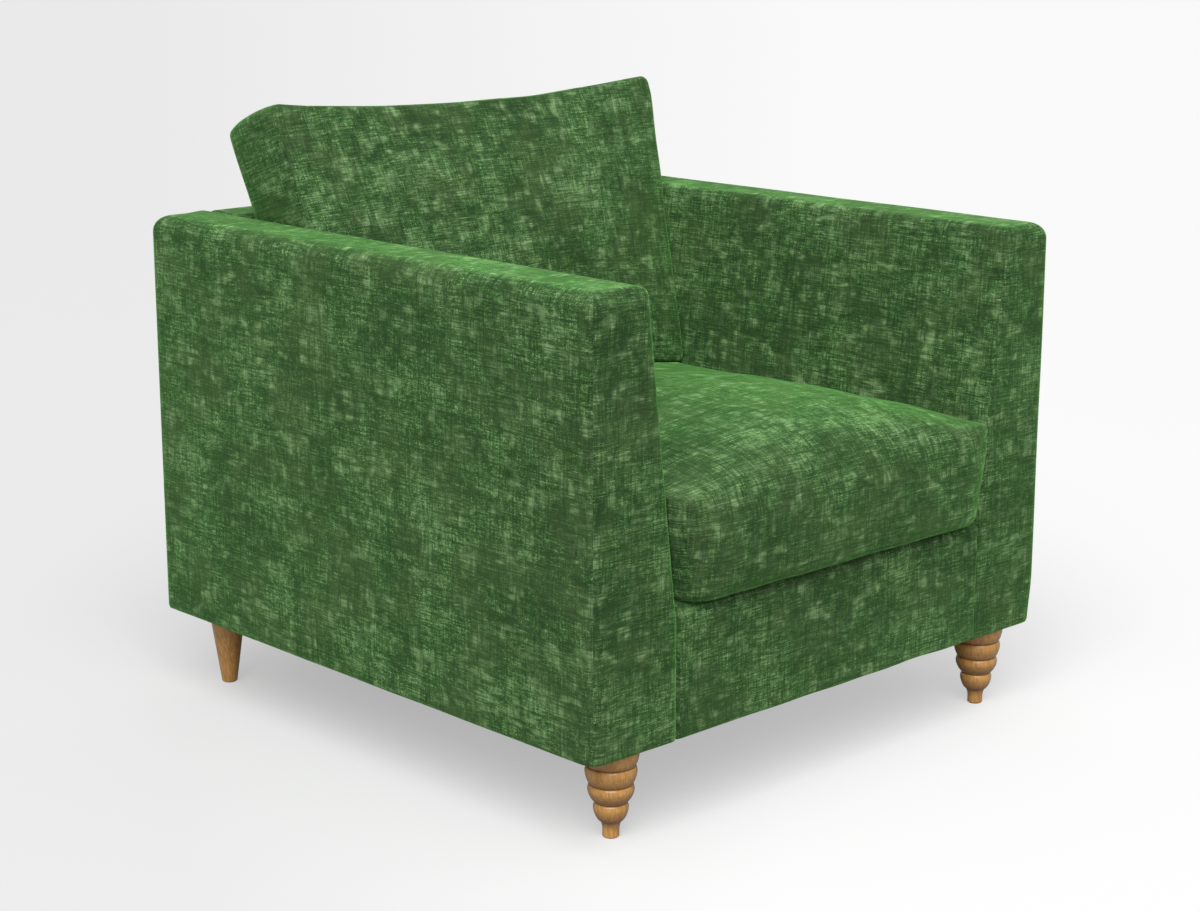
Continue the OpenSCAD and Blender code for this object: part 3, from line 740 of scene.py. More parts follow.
@dataclass(frozen=True)
class PlainCloth(Finish):
    """Plain woven or felted cloth of one dye."""

    name: str
    dark: Colour
    light: Colour
    pitch: float = 0.0012
    roughness: float = 0.9

    def draw(self, board: NodeBoard) -> bpy.types.Node:
        """Draws the cloth.

        Args:
            board: The material's board.

        Returns:
            Its shader.
        """
        wires = {"Place": board.place(), "Pitch": self.pitch}
        weave = board.add("Group", wires, node_tree=Effects.weave).outputs
        colour = board.tint(weave["Shade"], self.dark, self.light)
        return board.add("BsdfPrincipled", {
            "Base Color": board.layers(colour, (weave["Relief"], 0.3, self.light)),
            "Roughness": self.roughness, "Specular IOR Level": 0.25,
            "Normal": board.bump(weave["Relief"], 0.4, 0.0006)})


@dataclass(frozen=True)
class Wood(Finish):
    """Wood with its grain along one axis, darker in its grooves from stain and painted shade, and darker on
    faces turned downwards from painted shade.
    """

    name: str
    early: Colour
    late: Colour
    pore: Colour
    rings: float
    waver: float
    roughness: float
    coat: float = 0.0
    stain_and_shade_share: float = 0.4
    along: int = 2
    # Steps of the darkening: in the grooves, partly stain and partly painted shade; on faces turned
    # downwards, painted shade.
    groove_edge: tuple[float, float] = (0.5, 0.45)
    underside_shade_edge: tuple[float, float] = (0.05, -0.75)

    def draw(self, board: NodeBoard) -> bpy.types.Node:
        """Draws the wood.

        Args:
            board: The material's board.

        Returns:
            Its shader.
        """
        axes = board.add("SeparateXYZ", {0: board.place()}).outputs
        turned = board.add("CombineXYZ", {k: axes[(self.along + 1 + k) % 3] for k in range(3)}).outputs[0]
        wires = {"Place": turned, "Rings": self.rings, "Waver": self.waver}
        grain = board.add("Group", wires, node_tree=Effects.grain).outputs
        shape = board.add("NewGeometry").outputs
        facing = board.add("SeparateXYZ", {0: shape["Normal"]}).outputs[2]
        # Darkening, partly stain in the grooves, and painted shade there and under each bead.
        stain_and_shade = board.math("MAXIMUM", board.rise(shape["Pointiness"], *self.groove_edge),
                             board.rise(facing, *self.underside_shade_edge))
        colour = board.layers(
            board.tint(grain["Ring"], self.early, self.late), (grain["Tone"], 0.5, self.late),
            (grain["Pore"], 0.5, self.pore), (stain_and_shade, self.stain_and_shade_share, self.pore))
        relief = board.weigh((grain["Pore"], -0.7), (grain["Ring"], -0.3))
        return board.add("BsdfPrincipled", {
            "Base Color": colour, "Roughness": board.weigh((grain["Pore"], 0.2), (1.0, self.roughness)),
            "Normal": board.bump(relief, 0.3, 0.0003), "Coat Weight": self.coat, "Coat Roughness": 0.25})


@dataclass(frozen=True)
class Steel(Finish):
    """Zinc-plated steel with fine streaks."""

    name: str = "bright_zinc"
    dark: Colour = (0.42, 0.43, 0.45)
    light: Colour = (0.66, 0.67, 0.70)
    streak: Cells = Cells((900, 900, 60), 0.0, 2.0, 0.6)
    bloom: Cells = Cells((160, 160, 160), 7.0, 2.0)

    def draw(self, board: NodeBoard) -> bpy.types.Node:
        """Draws the steel.

        Args:
            board: The material's board.

        Returns:
            Its shader.
        """
        place = board.place()
        streak, bloom = board.noise(place, self.streak), board.noise(place, self.bloom)
        colour = board.tint(board.weigh((streak, 0.6), (bloom, 0.4)), self.dark, self.light)
        return board.add("BsdfPrincipled", {"Base Color": colour, "Metallic": 1.0,
                                            "Roughness": board.weigh((bloom, 0.25), (1.0, 0.22))})


@dataclass(frozen=True)
class Board(Finish):
    """Hardboard: pressed brown fibre with darker specks."""

    name: str = "pressed_board"
    ground: Colour = (0.16, 0.085, 0.042)
    speck: Colour = (0.07, 0.035, 0.018)
    fibre: Cells = Cells((500, 500, 500), 0.0, 4.0, 0.7)
    speck_edge: tuple[float, float] = (0.45, 0.75)

    def draw(self, board: NodeBoard) -> bpy.types.Node:
        """Draws the board.

        Args:
            board: The material's node board.

        Returns:
            Its shader.
        """
        fibre = board.noise(board.place(), self.fibre)
        colour = board.tint(board.rise(fibre, *self.speck_edge), self.ground, self.speck)
        return board.add("BsdfPrincipled", {"Base Color": colour, "Roughness": 0.7,
                                            "Normal": board.bump(fibre, 0.3, 0.0003)})


VELVET = Velvet()
DECK_CLOTH = PlainCloth("deck_lining", (0.018, 0.070, 0.018), (0.040, 0.120, 0.036), pitch=0.0016)
DUST_CLOTH = PlainCloth("dust_cloth", (0.010, 0.010, 0.011), (0.022, 0.022, 0.024), pitch=0.0022,
                        roughness=0.95)
WEBBING = PlainCloth("elastic_web", (0.10, 0.055, 0.028), (0.22, 0.14, 0.08), pitch=0.0024)
ZIP_TAPE = PlainCloth("zip_tape_cloth", (0.012, 0.034, 0.010), (0.025, 0.060, 0.022), pitch=0.0009)
OAK = Wood("turned_oak", early=(0.64, 0.335, 0.088), late=(0.42, 0.195, 0.044), pore=(0.11, 0.045, 0.012),
           rings=330.0, waver=0.012, roughness=0.34, coat=0.5, stain_and_shade_share=0.85)
STEEL = Steel()
BOARD = Board()


def softwood(along: int) -> Wood:
    """Planed softwood with its grain along an axis, 0 to 2."""
    return Wood(f"planed_softwood_{'xyz'[along]}", early=(0.66, 0.48, 0.27), late=(0.50, 0.31, 0.14),
                pore=(0.28, 0.16, 0.07), rings=230.0, waver=0.012, roughness=0.62, along=along)


# Padded pieces


class SoftPiece:
    """A padded piece: a net over a block, drawn to its form, filled and covered in cloth."""

    name: str
    stands_for: tuple[str, ...]
    counts: tuple[int, int, int]
    body: str = "chair_body"
    crowd: float = 0.3
    fill: float = 0.9
    slot: str = "velvet"
    seed: int = 1
    mirrored: bool = False
    panel_step: float = 0.37
    piece_step: float = 1.7

    def form(self, net: Net) -> Array:
        """Draws the piece: where each knot of its net goes, in metres."""
        raise NotImplementedError

    def seams(self, net: Net, points: Array) -> Array:
        """How deep each knot lies in a seam, from 0 to 1."""
        return np.zeros(len(points))

    def cover(self, net: Net, points: Array) -> Array:
        """Lays the cloth over the piece.

        Args:
            net: The piece's net.
            points: Its drawn knots.

        Returns:
            Place on the cut cloth for each corner of each mesh, in metres. Each panel has its own depth.
        """
        corners = points[net.quads]
        place = np.empty_like(corners)
        for number, side in enumerate(Side):
            axis = side.value[0]
            flat = [k for k in range(3) if k != axis]
            on = net.sides == number
            place[on, :, 0] = corners[on][:, :, flat[0]]
            place[on, :, 1] = corners[on][:, :, flat[1]]
            place[on, :, 2] = self.panel_step * number + self.piece_step * self.seed
        return place

    def make(self, finish: Finish) -> bpy.types.Object:
        """Builds the piece, covers it and puts it on its body.

        Args:
            finish: The cloth it is covered in.

        Returns:
            The piece's object.
        """
        net = Net(self.counts, self.crowd)
        points = self.form(net)
        place = self.cover(net, points)
        seam = self.seams(net, points)
        quads = net.quads
        if self.mirrored:
            points = points * (-1, 1, 1)
            quads, place = quads[:, ::-1], place[:, ::-1]
        piece = object_of(self.name, points, quads)
        cloth = piece.data.attributes.new(CLOTH, "FLOAT_VECTOR", "CORNER")
        cloth.data.foreach_set("vector", place.astype(np.float32).ravel())
        # The seam mask darkens the cloth's colour along the seams as painted shade.
        mark = piece.data.attributes.new(SEAM_SHADE, "FLOAT", "POINT")
        mark.data.foreach_set("value", seam.astype(np.float32))
        piece.data.materials.append(finish.material())
        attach(piece, self.body)
        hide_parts(*self.stands_for)
        LOG.info("%s: %d meshes, on %s", self.name, len(quads), self.body)
        return piece


def object_of(name: str, points: Array, faces: Array | list) -> bpy.types.Object:
    """Makes a smooth object from points and faces.

    Args:
        name: The object's name.
        points: Its corners, in metres.
        faces: For each face, the numbers of its corners.

    Returns:
        The object, in the scene.
    """
    mesh = bpy.data.meshes.new(name)
    mesh.from_pydata([tuple(p) for p in points], [], [tuple(int(k) for k in f) for f in faces])
    mesh.polygons.foreach_set("use_smooth", [True] * len(mesh.polygons))
    mesh.update()
    made = bpy.data.objects.new(name, mesh)
    bpy.context.scene.collection.objects.link(made)
    return made


@dataclass
class Armrest(SoftPiece):
    """An arm: cloth over foam and board, upright outside, sloping inside above the deck."""

    counts = (16, 140, 96)
    hand: Hand = Hand.RIGHT
    edge_r: float = TUCK.edge
    upright_r: float = 12 * MM
    inner_top_r: float = 10 * MM
    inner_front_r: float = 9 * MM
    hidden_r: float = 2 * MM
    heel: float = 9 * MM
    heel_h: float = 70 * MM
    under_r: float = 5 * MM
    step: tuple[float, float] = (-25 * MM, 10 * MM)
    dust_gap: float = 0.6 * MM
    puff: float = 1.6 * MM
    uneven: float = 0.5 * MM
    wave: float = 160 * MM
    calm_w: float = 30 * MM
    edge_share: float = 0.35
    halves: tuple[float, float, float] = (60 * MM, 450 * MM, 280 * MM)

    def __post_init__(self) -> None:
        """Names the arm by its hand."""
        self.name = f"{self.hand.word}_arm"
        self.stands_for = tuple(f"arm_{part}_{self.hand.word}" for part in ("cover", "foam"))
        self.mirrored = self.hand is Hand.LEFT
        self.seed = 2 if self.mirrored else 1

    def form(self, net: Net) -> Array:
        """Draws the right arm; the left one is its mirror.

        Args:
            net: The piece's net.

        Returns:
            Where its knots go, in metres.
        """
        u, v, w = net.share.T
        top_r = self.inner_top_r + (self.edge_r - self.inner_top_r) * smooth(u, -1.0, -0.2)
        z, inset = wall(w, PLAN.under, PLAN.top, self.under_r, top_r)
        inside = PLAN.arm_inside(z) + inset
        outside = PLAN.out_x - inset
        half = rows((outside - inside) / 2, (PLAN.back - PLAN.front) / 2 - inset)
        at_front = v < 0
        at_heel = (1 - smooth(z, PLAN.under, PLAN.under + self.heel_h)) * at_front
        outer_r = self.upright_r + self.heel * at_heel
        over_deck = smooth(z, PLAN.deck + self.step[0], PLAN.deck + self.step[1]) * at_front
        inner_r = self.hidden_r + (self.inner_front_r - self.hidden_r) * over_deck
        radius = np.where(u > 0, outer_r, inner_r)
        flat = round_corners(net.share[:, :2], half, np.maximum(radius - 0.4 * inset, self.hidden_r))
        x = (outside + inside) / 2 + flat[:, 0]
        y = (PLAN.back + PLAN.front) / 2 + flat[:, 1]
        y = TUCK.draw(y, np.maximum(x - (PLAN.out_x - self.edge_r), z - (PLAN.top - self.edge_r)))
        over_dust = (x < PLAN.dust_x) & (y > PLAN.dust_front) & (y < PLAN.dust_back)
        z = np.where(over_dust, np.maximum(z, PLAN.dust_top + self.dust_gap), z)
        return self.soften(net, rows(x, y, z))

    def soften(self, net: Net, points: Array) -> Array:
        """Fills the outside and inside a little and makes the whole softly uneven.

        Args:
            net: The piece's net.
            points: Its drawn knots.

        Returns:
            The softened knots.
        """
        u, v, w = net.share.T
        out = np.where(u > 0, self.puff, -0.6 * self.puff)
        fill = np.where(np.abs(u) == 1, swell(v, w, 4.0), 0.0) * out
        calm = smooth(net.edge_gap(self.halves), 0, self.calm_w)
        share = self.edge_share + (1 - self.edge_share) * calm
        wave = self.uneven * ripple(points, self.wave, self.seed) * share
        still = TUCK.holds(points[:, 1]) | (w == -1)
        amount = np.where(still, 0.0, np.minimum(fill + wave, self.puff))
        return points + normals_of(points, net.quads) * amount[:, None]


@dataclass
class BackPanel(SoftPiece):
    """Inside and top of the back, between the arms."""

    name = "back_panel"
    stands_for = ("back_cover", "back_foam")
    counts = (110, 16, 70)
    seed = 3
    front_r: float = 18 * MM
    rear_r: float = TUCK.edge
    end_r: float = 6 * MM
    under_r: float = 1 * MM
    least_r: float = 0.5 * MM
    gap: float = 0.4 * MM
    uneven: float = 0.5 * MM
    wave: float = 140 * MM
    calm_w: float = 30 * MM

    def form(self, net: Net) -> Array:
        """Draws the panel with slanted ends against the arms.

        Args:
            net: The piece's net.

        Returns:
            Where its knots go, in metres.
        """
        z, inset = wall(net.share[:, 2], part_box("back_cover")[0].z, PLAN.top, self.under_r, self.rear_r)
        half_x = PLAN.arm_inside(z) - self.gap - inset * self.end_r / self.rear_r
        front = PLAN.inside_back + inset * self.front_r / self.rear_r
        rear = PLAN.back - inset
        radius = np.maximum(self.end_r - inset, self.least_r)
        flat = round_corners(net.share[:, :2], rows(half_x, (rear - front) / 2), radius)
        x, y = flat[:, 0], (rear + front) / 2 + flat[:, 1]
        y = TUCK.draw(y, z - (PLAN.top - self.rear_r))
        points = rows(x, y, z)
        calm = smooth(PLAN.arm_inside(z) - np.abs(x), 0, self.calm_w) * ~TUCK.holds(y)
        amount = self.uneven * ripple(points, self.wave, self.seed) * calm
        return points + normals_of(points, net.quads) * amount[:, None]


@dataclass
class OutsideBack(SoftPiece):
    """Outside back: a flat padded panel, blind-sewn between the arms' wrapped rear edges."""

    name = "outside_back"
    stands_for = ("outside_back_cover", "back_wadding")
    counts = (130, 4, 90)
    crowd = 0.6
    seed = 4
    edge: float = TUCK.edge
    thick: float = 11 * MM
    soft_r: float = 4 * MM
    low_edge: float = 1 * MM
    puff: float = 1.0 * MM
    uneven: float = 0.35 * MM
    wave: float = 150 * MM

    def form(self, net: Net) -> Array:
        """Draws the panel, rounded along its rear edges.

        Args:
            net: The piece's net.

        Returns:
            Where its knots go, in metres.
        """
        u, v, w = net.share.T
        half_x, low, high = PLAN.out_x - self.edge, PLAN.under, PLAN.top - self.edge
        on_rear = v == 1
        shrink = np.where(on_rear, self.soft_r, 0.0)
        x = u * (half_x - shrink)
        z = (low + high) / 2 + w * ((high - low) / 2 - shrink)
        points = rows(x, PLAN.back - self.thick * (1 - v) / 2, z)
        near = np.minimum(half_x - np.abs(x), np.minimum(high - z, z - low + self.low_edge))
        dip = self.soft_r * (1 - smooth(near, 0, 2.2 * self.soft_r)) * on_rear
        fill = self.puff * swell(u, w, 3.0) * on_rear
        wave = self.uneven * ripple(points, self.wave, self.seed) * on_rear
        points[:, 1] += np.minimum(fill + wave, self.puff) - dip
        return points


@dataclass
class FrontPanel(SoftPiece):
    """Front panel under the seat cushion, drawn tight over its foam between the arms."""

    name = "front_panel"
    stands_for = ("panel_cover", "panel_foam")
    counts = (110, 7, 44)
    crowd = 0.4
    seed = 5
    top_r: float = 20 * MM
    side_r: float = 5 * MM
    under_r: float = 6 * MM
    least_r: float = 0.4 * MM
    lift: float = 2 * MM
    turn_in: float = 4.5 * MM
    turn_h: float = 25 * MM
    gap: float = 0.3 * MM
    gather: float = 0.9 * MM
    gather_pitch: float = 24 * MM
    gather_w: float = 60 * MM
    uneven: float = 0.6 * MM
    wave: float = 110 * MM
    ahead: tuple[float, float] = (4 * MM, 12 * MM)

    def form(self, net: Net) -> Array:
        """Draws the panel with its rounded top and softly gathered top corners.

        Args:
            net: The piece's net.

        Returns:
            Where its knots go, in metres.
        """
        v, w = net.share[:, 1], net.share[:, 2]
        low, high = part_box("panel_cover")
        z, inset = wall(w, low.z + self.lift, high.z, self.under_r, self.top_r)
        half_x = high.x - self.gap - np.minimum(inset, self.side_r) * 0.3
        front, rear = low.y + inset, high.y
        deep = rear - front
        radius = np.maximum(np.where(v < 0, np.minimum(self.side_r, deep * 0.45), 0.0), self.least_r)
        flat = round_corners(net.share[:, :2], rows(half_x, deep / 2), radius)
        points = rows(flat[:, 0], (rear + front) / 2 + flat[:, 1], z)
        behind = np.clip((points[:, 1] - low.y) / (high.y - low.y), 0, 1)
        points[:, 2] -= self.turn_in * behind * (1 - smooth(z, low.z, low.z + self.turn_h))
        x, y = points[:, 0], points[:, 1]
        from_corner = np.hypot(half_x - np.abs(x), high.z - z) / self.gather_w
        folds = np.cos((x + 0.6 * z) / self.gather_pitch * 2 * math.pi) * np.exp(-(from_corner**2))
        wave = self.uneven * ripple(points, self.wave, self.seed) + self.gather * folds
        amount = np.minimum(wave, self.gather) * smooth(rear - y, *self.ahead)
        return points + normals_of(points, net.quads) * amount[:, None]

    def cover(self, net: Net, points: Array) -> Array:
        """Runs the front's cloth on over the top edge."""
        return wrapped(super().cover(net, points), net, points)


def wrapped(place: Array, net: Net, points: Array) -> Array:
    """Carries one cloth from the front's lower edge over the top.

    Args:
        place: Places on the cloth for each corner of each mesh.
        net: The piece's net.
        points: Its drawn knots.

    Returns:
        The places, with those of the front and top along one sheet.
    """
    along = net.flow(points)
    members = list(Side)
    one = np.isin(net.sides, [members.index(Side.FRONT), members.index(Side.TOP)])
    place[one, :, 0] = points[net.quads[one]][:, :, 0]
    place[one, :, 1] = along[net.quads[one]]
    place[one, :, 2] = place[one, :1, 2].min()
    return place


@dataclass
class Deck(SoftPiece):
    """Deck under the seat cushion: lining cloth over felt, with the springs' bars just felt through it."""

    name = "deck"
    stands_for = ("deck_cover", "deck_pad")
    counts = (70, 110, 3)
    slot = "deck_cloth"
    fill = 0.4
    seed = 6
    bar_pitch: float = 32.6 * MM
    bar_depth: float = 0.5 * MM
    gap: float = 0.5 * MM
    sag: float = 2.0 * MM
    ease: float = 0.8 * MM
    foot: float = 0.4 * MM
    lining: float = 2 * MM

    def form(self, net: Net) -> Array:
        """Draws the deck between the arms, the front panel and the inside back.

        Args:
            net: The piece's net.

        Returns:
            Where its knots go, in metres.
        """
        u, v, w = net.share.T
        low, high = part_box("deck_pad")[0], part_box("deck_cover")[1]
        x = u * (high.x - self.gap)
        y = (low.y + high.y) / 2 + v * ((high.y - low.y) / 2 - self.gap)
        bars = np.cos(y / self.bar_pitch * 2 * math.pi) * (1 - np.abs(x / high.x) ** 6)
        top = high.z - self.ease - self.sag * swell(u, v, 3.0) - self.bar_depth * (1 + bars)
        pad = low.z + self.foot + (w + 1) / 2 * (high.z - low.z - self.lining)
        return rows(x, y, np.where(w == 1, top, pad))


@dataclass
class SeatCushion(SoftPiece):
    """Loose seat cushion: one cloth runs from the front's lower seam over the crown to the rear."""

    name = "seat_cushion"
    body = "seat_cushion"
    stands_for = ("seat_cushion_cover", "seat_cushion_core")
    counts = (84, 116, 20)
    crowd = 0.35
    fill = 0.75
    seed = 7
    crown: float = 65 * MM
    peak: float = 250 * MM
    rise: float = 200 * MM
    border: float = 130 * MM
    corner_r: float = 27 * MM
    low_corner: float = 20 * MM
    under_r: float = 4 * MM
    side_gap: float = 2.5 * MM
    bulge: float = 5 * MM
    draw_in: float = 3 * MM
    slack: float = 14 * MM
    cap: float = 24 * MM
    least_r: float = 4 * MM
    give: float = 4 * MM
    rear_gap: float = 0.4 * MM
    brow: float = 50 * MM
    brow_rounds: int = 24
    uneven: float = 0.7 * MM
    wave: float = 100 * MM
    seam_depth: float = 1.6 * MM
    seam_up: float = 3 * MM
    seam_w: float = 2.4 * MM
    edge_w: float = 2 * MM

    def __post_init__(self) -> None:
        """Reads the cushion's faces from its solid."""
        low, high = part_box("seat_cushion_cover")
        self.front, self.rear, self.under = low.y, high.y - self.rear_gap, low.z

    def half_width(self, z: Array) -> Array:
        """Half the cushion's width at heights z, a little clear of the arms."""
        return PLAN.arm_inside(z) - self.side_gap

    def top(self, x: Array, y: Array, crown: float) -> Array:
        """Height of the cushion's top.

        Args:
            x, y: Where.
            crown: Height of the crown over the border.

        Returns:
            The height at each place.
        """
        edge = self.under + self.border
        up = 1 - (1 - np.clip((y - self.front) / self.rise, 0, 1)) ** 4
        peak = self.front + self.peak
        down = (1 + np.cos(math.pi * np.clip((y - peak) / (self.rear - peak), 0, 1))) / 2
        across = 1 - np.clip(np.abs(x) / self.half_width(edge), 0, 1) ** 2.4
        return edge + crown * across * up * down

    def block(self, net: Net, crown: float) -> Array:
        """Draws the filled cushion.

        Args:
            net: The net to place.
            crown: Height of the crown over the border.

        Returns:
            Where its knots go.
        """
        u, v, w = net.share.T
        z, inset = wall(w, self.under, self.under + self.border, self.under_r, 0.0)
        bend = self.bulge * w * w * (w > 0)
        half_x = self.half_width(z) - inset - bend - self.draw_in * (1 - v * v)
        front = self.front + inset + 0.5 * bend
        rear = self.rear - inset - bend
        radius = self.corner_r + self.low_corner * (1 - smooth(w, -1.0, 1.0)) - inset
        half = rows(half_x, (rear - front) / 2)
        flat = round_corners(net.share[:, :2], half, np.maximum(radius, self.least_r))
        x, y = flat[:, 0], (rear + front) / 2 + flat[:, 1]
        z = np.where(w == 1, self.top(x, y, crown), z)
        high = smooth(z, self.under + 0.6 * self.border, self.under + self.border)
        brow = np.exp(-(((y - self.front) / self.brow) ** 2)) * high
        sides = np.clip(1 - np.abs(u) ** 8, 0, 1)
        return relax(rows(x, y, z), net.quads, 0.5 * brow * sides, self.brow_rounds)

    def form(self, net: Net) -> Array:
        """Fills the cushion, settles it between its neighbours and sews its seams.

        Args:
            net: The piece's net.

        Returns:
            Where its knots go, in metres.
        """
        u, v, w = net.share.T
        ends = np.abs(u) == 1
        sewn = ((w == -1) & (ends | (np.abs(v) == 1))) | ((w == 1) & (ends | (v == 1)))
        points = filled(self.name, self.block(net, self.crown - self.slack), net.quads, sewn, self.cap)
        points = self.settle(points)
        depth = self.seams(net, points) * self.seam_depth
        wave = self.uneven * ripple(points, self.wave, self.seed)
        return self.settle(points + normals_of(points, net.quads) * (wave - depth)[:, None])

    def settle(self, points: Array) -> Array:
        """Keeps the cushion clear of the arms, the deck and the inside back, and lets its zip show.

        Args:
            points: Its knots.

        Returns:
            The settled knots.
        """
        x, y, z = points.T
        limit = self.half_width(z)
        y = np.clip(y, self.front - self.give, self.rear)
        return rows(np.clip(x, -limit, limit), y, np.maximum(z, self.under))

    def seams(self, net: Net, points: Array) -> Array:
        """Marks the seam round the lower edge and those along the side borders' tops.

        Args:
            net: The piece's net.
            points: Its knots.

        Returns:
            How deep each knot lies in a seam, from 0 to 1.
        """
        u, w = net.share[:, 0], net.share[:, 2]
        up = (points[:, 2] - self.under - self.seam_up) / self.seam_w
        from_top = (1 - np.abs(w)) * self.border / 2 / self.edge_w
        side_edge = np.exp(-(from_top**2)) * (np.abs(u) == 1) * (w > 0)
        return np.clip(np.exp(-(up**2)) * (w > -1) + side_edge, 0, 1)

    def cover(self, net: Net, points: Array) -> Array:
        """Runs the front's cloth on over the crown."""
        return wrapped(super().cover(net, points), net, points)


def filled(name: str, points: Array, quads: Array, sewn: Array, cap: float, pressure: float = 4.0) -> Array:
    """Fills a slack cover by cloth simulation.

    Args:
        name: Name for the cover while it is filled.
        points: The slack cover's knots.
        quads: Its meshes.
        sewn: Whether each knot lies in a seam, which holds its shape.
        cap: The furthest a knot may move.
        pressure: Push of the filling.

    Returns:
        The filled cover's knots.
    """
    frames = 20
    cover = object_of(name + "_slack", points, quads)
    cloth = cover.modifiers.new("filling", "CLOTH")
    cloth.settings.use_pressure = True
    cloth.settings.uniform_pressure_force = pressure
    cloth.settings.effector_weights.gravity = 0.0
    held = cover.vertex_groups.new(name="sewn")
    held.add([int(k) for k in np.flatnonzero(sewn)], 1.0, "REPLACE")
    cloth.settings.vertex_group_mass = held.name
    cloth.settings.quality = 5
    cloth.collision_settings.use_collision = False
    cloth.point_cache.frame_start = 1
    cloth.point_cache.frame_end = frames
    for step in range(1, frames + 1):
        bpy.context.scene.frame_set(step)
    made = cover.evaluated_get(bpy.context.evaluated_depsgraph_get()).to_mesh()
    after = np.empty(len(points) * 3)
    made.vertices.foreach_get("co", after)
    move = after.reshape(-1, 3) - points
    far = np.linalg.norm(move, axis=1, keepdims=True)
    LOG.info("%s: knots moved %.1f mm on average, %.1f at most", name, far.mean() / MM, far.max() / MM)
    bpy.data.objects.remove(cover)
    bpy.context.scene.frame_set(1)
    return points + move * np.minimum(1.0, cap / np.maximum(far, TINY))


@dataclass
class BackCushion(SoftPiece):
    """Loose back cushion: two panels and a border, standing on the seat cushion and leaning on the back."""

    name = "back_cushion"
    body = "back_cushion"
    stands_for = ("back_cushion_cover", "back_cushion_core")
    counts = (96, 18, 66)
    crowd = 0.4
    fill = 0.7
    seed = 8
    seat: SeatCushion
    lean: float = math.radians(17.5)
    height: float = 423 * MM
    top_half: float = 353 * MM
    thick: float = 120 * MM
    front_crown: float = 40 * MM
    rear_crown: float = 30 * MM
    dip: float = 19 * MM
    rear_drop: float = 9 * MM
    corner_r: float = 14 * MM
    bulge: float = 4 * MM
    slack: float = 16 * MM
    cap: float = 26 * MM
    uneven: float = 0.8 * MM
    wave: float = 110 * MM
    seam_depth: float = 1.8 * MM
    seam_w: float = 2 * MM
    reach: float = 225 * MM
    rest: float = 1.2 * MM
    touch: float = 40 * MM
    touch_up: float = 30 * MM

    def __post_init__(self) -> None:
        """Finds where the cushion's foot stands on the seat."""
        self.foot_y = PLAN.inside_back - self.reach
        self.foot_z = self.seat.top(0.0, self.foot_y, self.seat.crown) + self.rest

    def block(self, net: Net, slack: float) -> Array:
        """Draws the cushion in its own lean: across, through its thickness, and up its height.

        Args:
            net: The net to place.
            slack: How much lower its crowns are than when it is filled.

        Returns:
            Where its knots go, in its own lean.
        """
        u, v, w = net.share.T
        bend = self.bulge * (1 - v * v)
        half = rows(self.top_half + bend, self.height / 2 + bend)
        flat = round_corners(net.share[:, [0, 2]], half, np.full_like(u, self.corner_r))
        across = flat[:, 0] / self.top_half
        up = self.height / 2 + flat[:, 1]
        sunk = self.dip * (1 - across * across) + self.rear_drop * ((v + 1) / 2) ** 2 * across**4
        up = up * (1 - sunk / self.height)
        rise = swell(u, w, 2.3)
        front = (self.front_crown - slack) * rise
        rear = (self.rear_crown - slack) * rise
        through = np.where(v == -1, -front, np.where(v == 1, self.thick + rear, (v + 1) / 2 * self.thick))
        return rows(flat[:, 0], through, up)

    def lean_over(self, local: Array) -> Array:
        """Leans the cushion over.

        Args:
            local: Places in the cushion's own lean.

        Returns:
            The same places in the chair.
        """
        x, through, up = local.T
        up = up - self.foot_drop(x) * (1 - np.clip(up / self.height, 0, 1)) ** 2
        y = self.foot_y + up * math.sin(self.lean) + through * math.cos(self.lean)
        z = self.foot_z + up * math.cos(self.lean) - through * math.sin(self.lean)
        return rows(x * self.narrowing(z), y, z)

    def foot_drop(self, x: Array) -> Array:
        """How far the foot sinks at places across, where the seat's crown is lower than in its middle."""
        foot_x = x * self.narrowing(self.foot_z)
        return self.foot_z - self.rest - self.seat.top(foot_x, self.foot_y, self.seat.crown)

    def narrowing(self, z: Array) -> Array:
        """How much narrower than its top the cushion is at heights z, between the sloping arms."""
        return np.minimum(PLAN.arm_inside(z) - self.rest, self.top_half) / self.top_half

    def form(self, net: Net) -> Array:
        """Fills the cushion, leans it, settles it and sews its seams.

        Args:
            net: The piece's net.

        Returns:
            Where its knots go, in metres.
        """
        u, v, w = net.share.T
        sewn = (np.abs(v) == 1) & ((np.abs(u) == 1) | (np.abs(w) == 1))
        self.local = filled(self.name, self.block(net, self.slack), net.quads, sewn, self.cap)
        wave = self.uneven * ripple(self.local, self.wave, self.seed)
        depth = self.seams(net, self.local) * self.seam_depth
        self.local = self.local + normals_of(self.local, net.quads) * (wave - depth)[:, None]
        return self.settle(self.lean_over(self.local))

    def settle(self, points: Array) -> Array:
        """Rests the cushion on the seat and against the back's top edge, clear of the arms.

        Args:
            points: Its knots.

        Returns:
            The settled knots.
        """
        x, y, z = points.T
        limit = PLAN.arm_inside(np.minimum(z, PLAN.top)) - self.rest + np.clip(z - PLAN.top, 0, 1)
        x = np.clip(x, -limit, limit)
        z = np.maximum(z, self.seat.top(x, y, self.seat.crown) + self.rest)
        edge_r = BackPanel.front_r
        centre = (PLAN.inside_back + edge_r, PLAN.top - edge_r)
        off = rows(y, z) - centre
        toward = np.array([-math.cos(self.lean), math.sin(self.lean)])
        depth = edge_r + self.rest - off @ toward
        near = np.abs(off @ np.array([toward[1], -toward[0]])) < self.touch
        y = np.where((depth > 0) & near & (z < PLAN.top + self.touch_up), y + toward[0] * depth, y)
        y = np.where(z < PLAN.top - edge_r, np.minimum(y, PLAN.inside_back - self.rest), y)
        return rows(x, y, z)

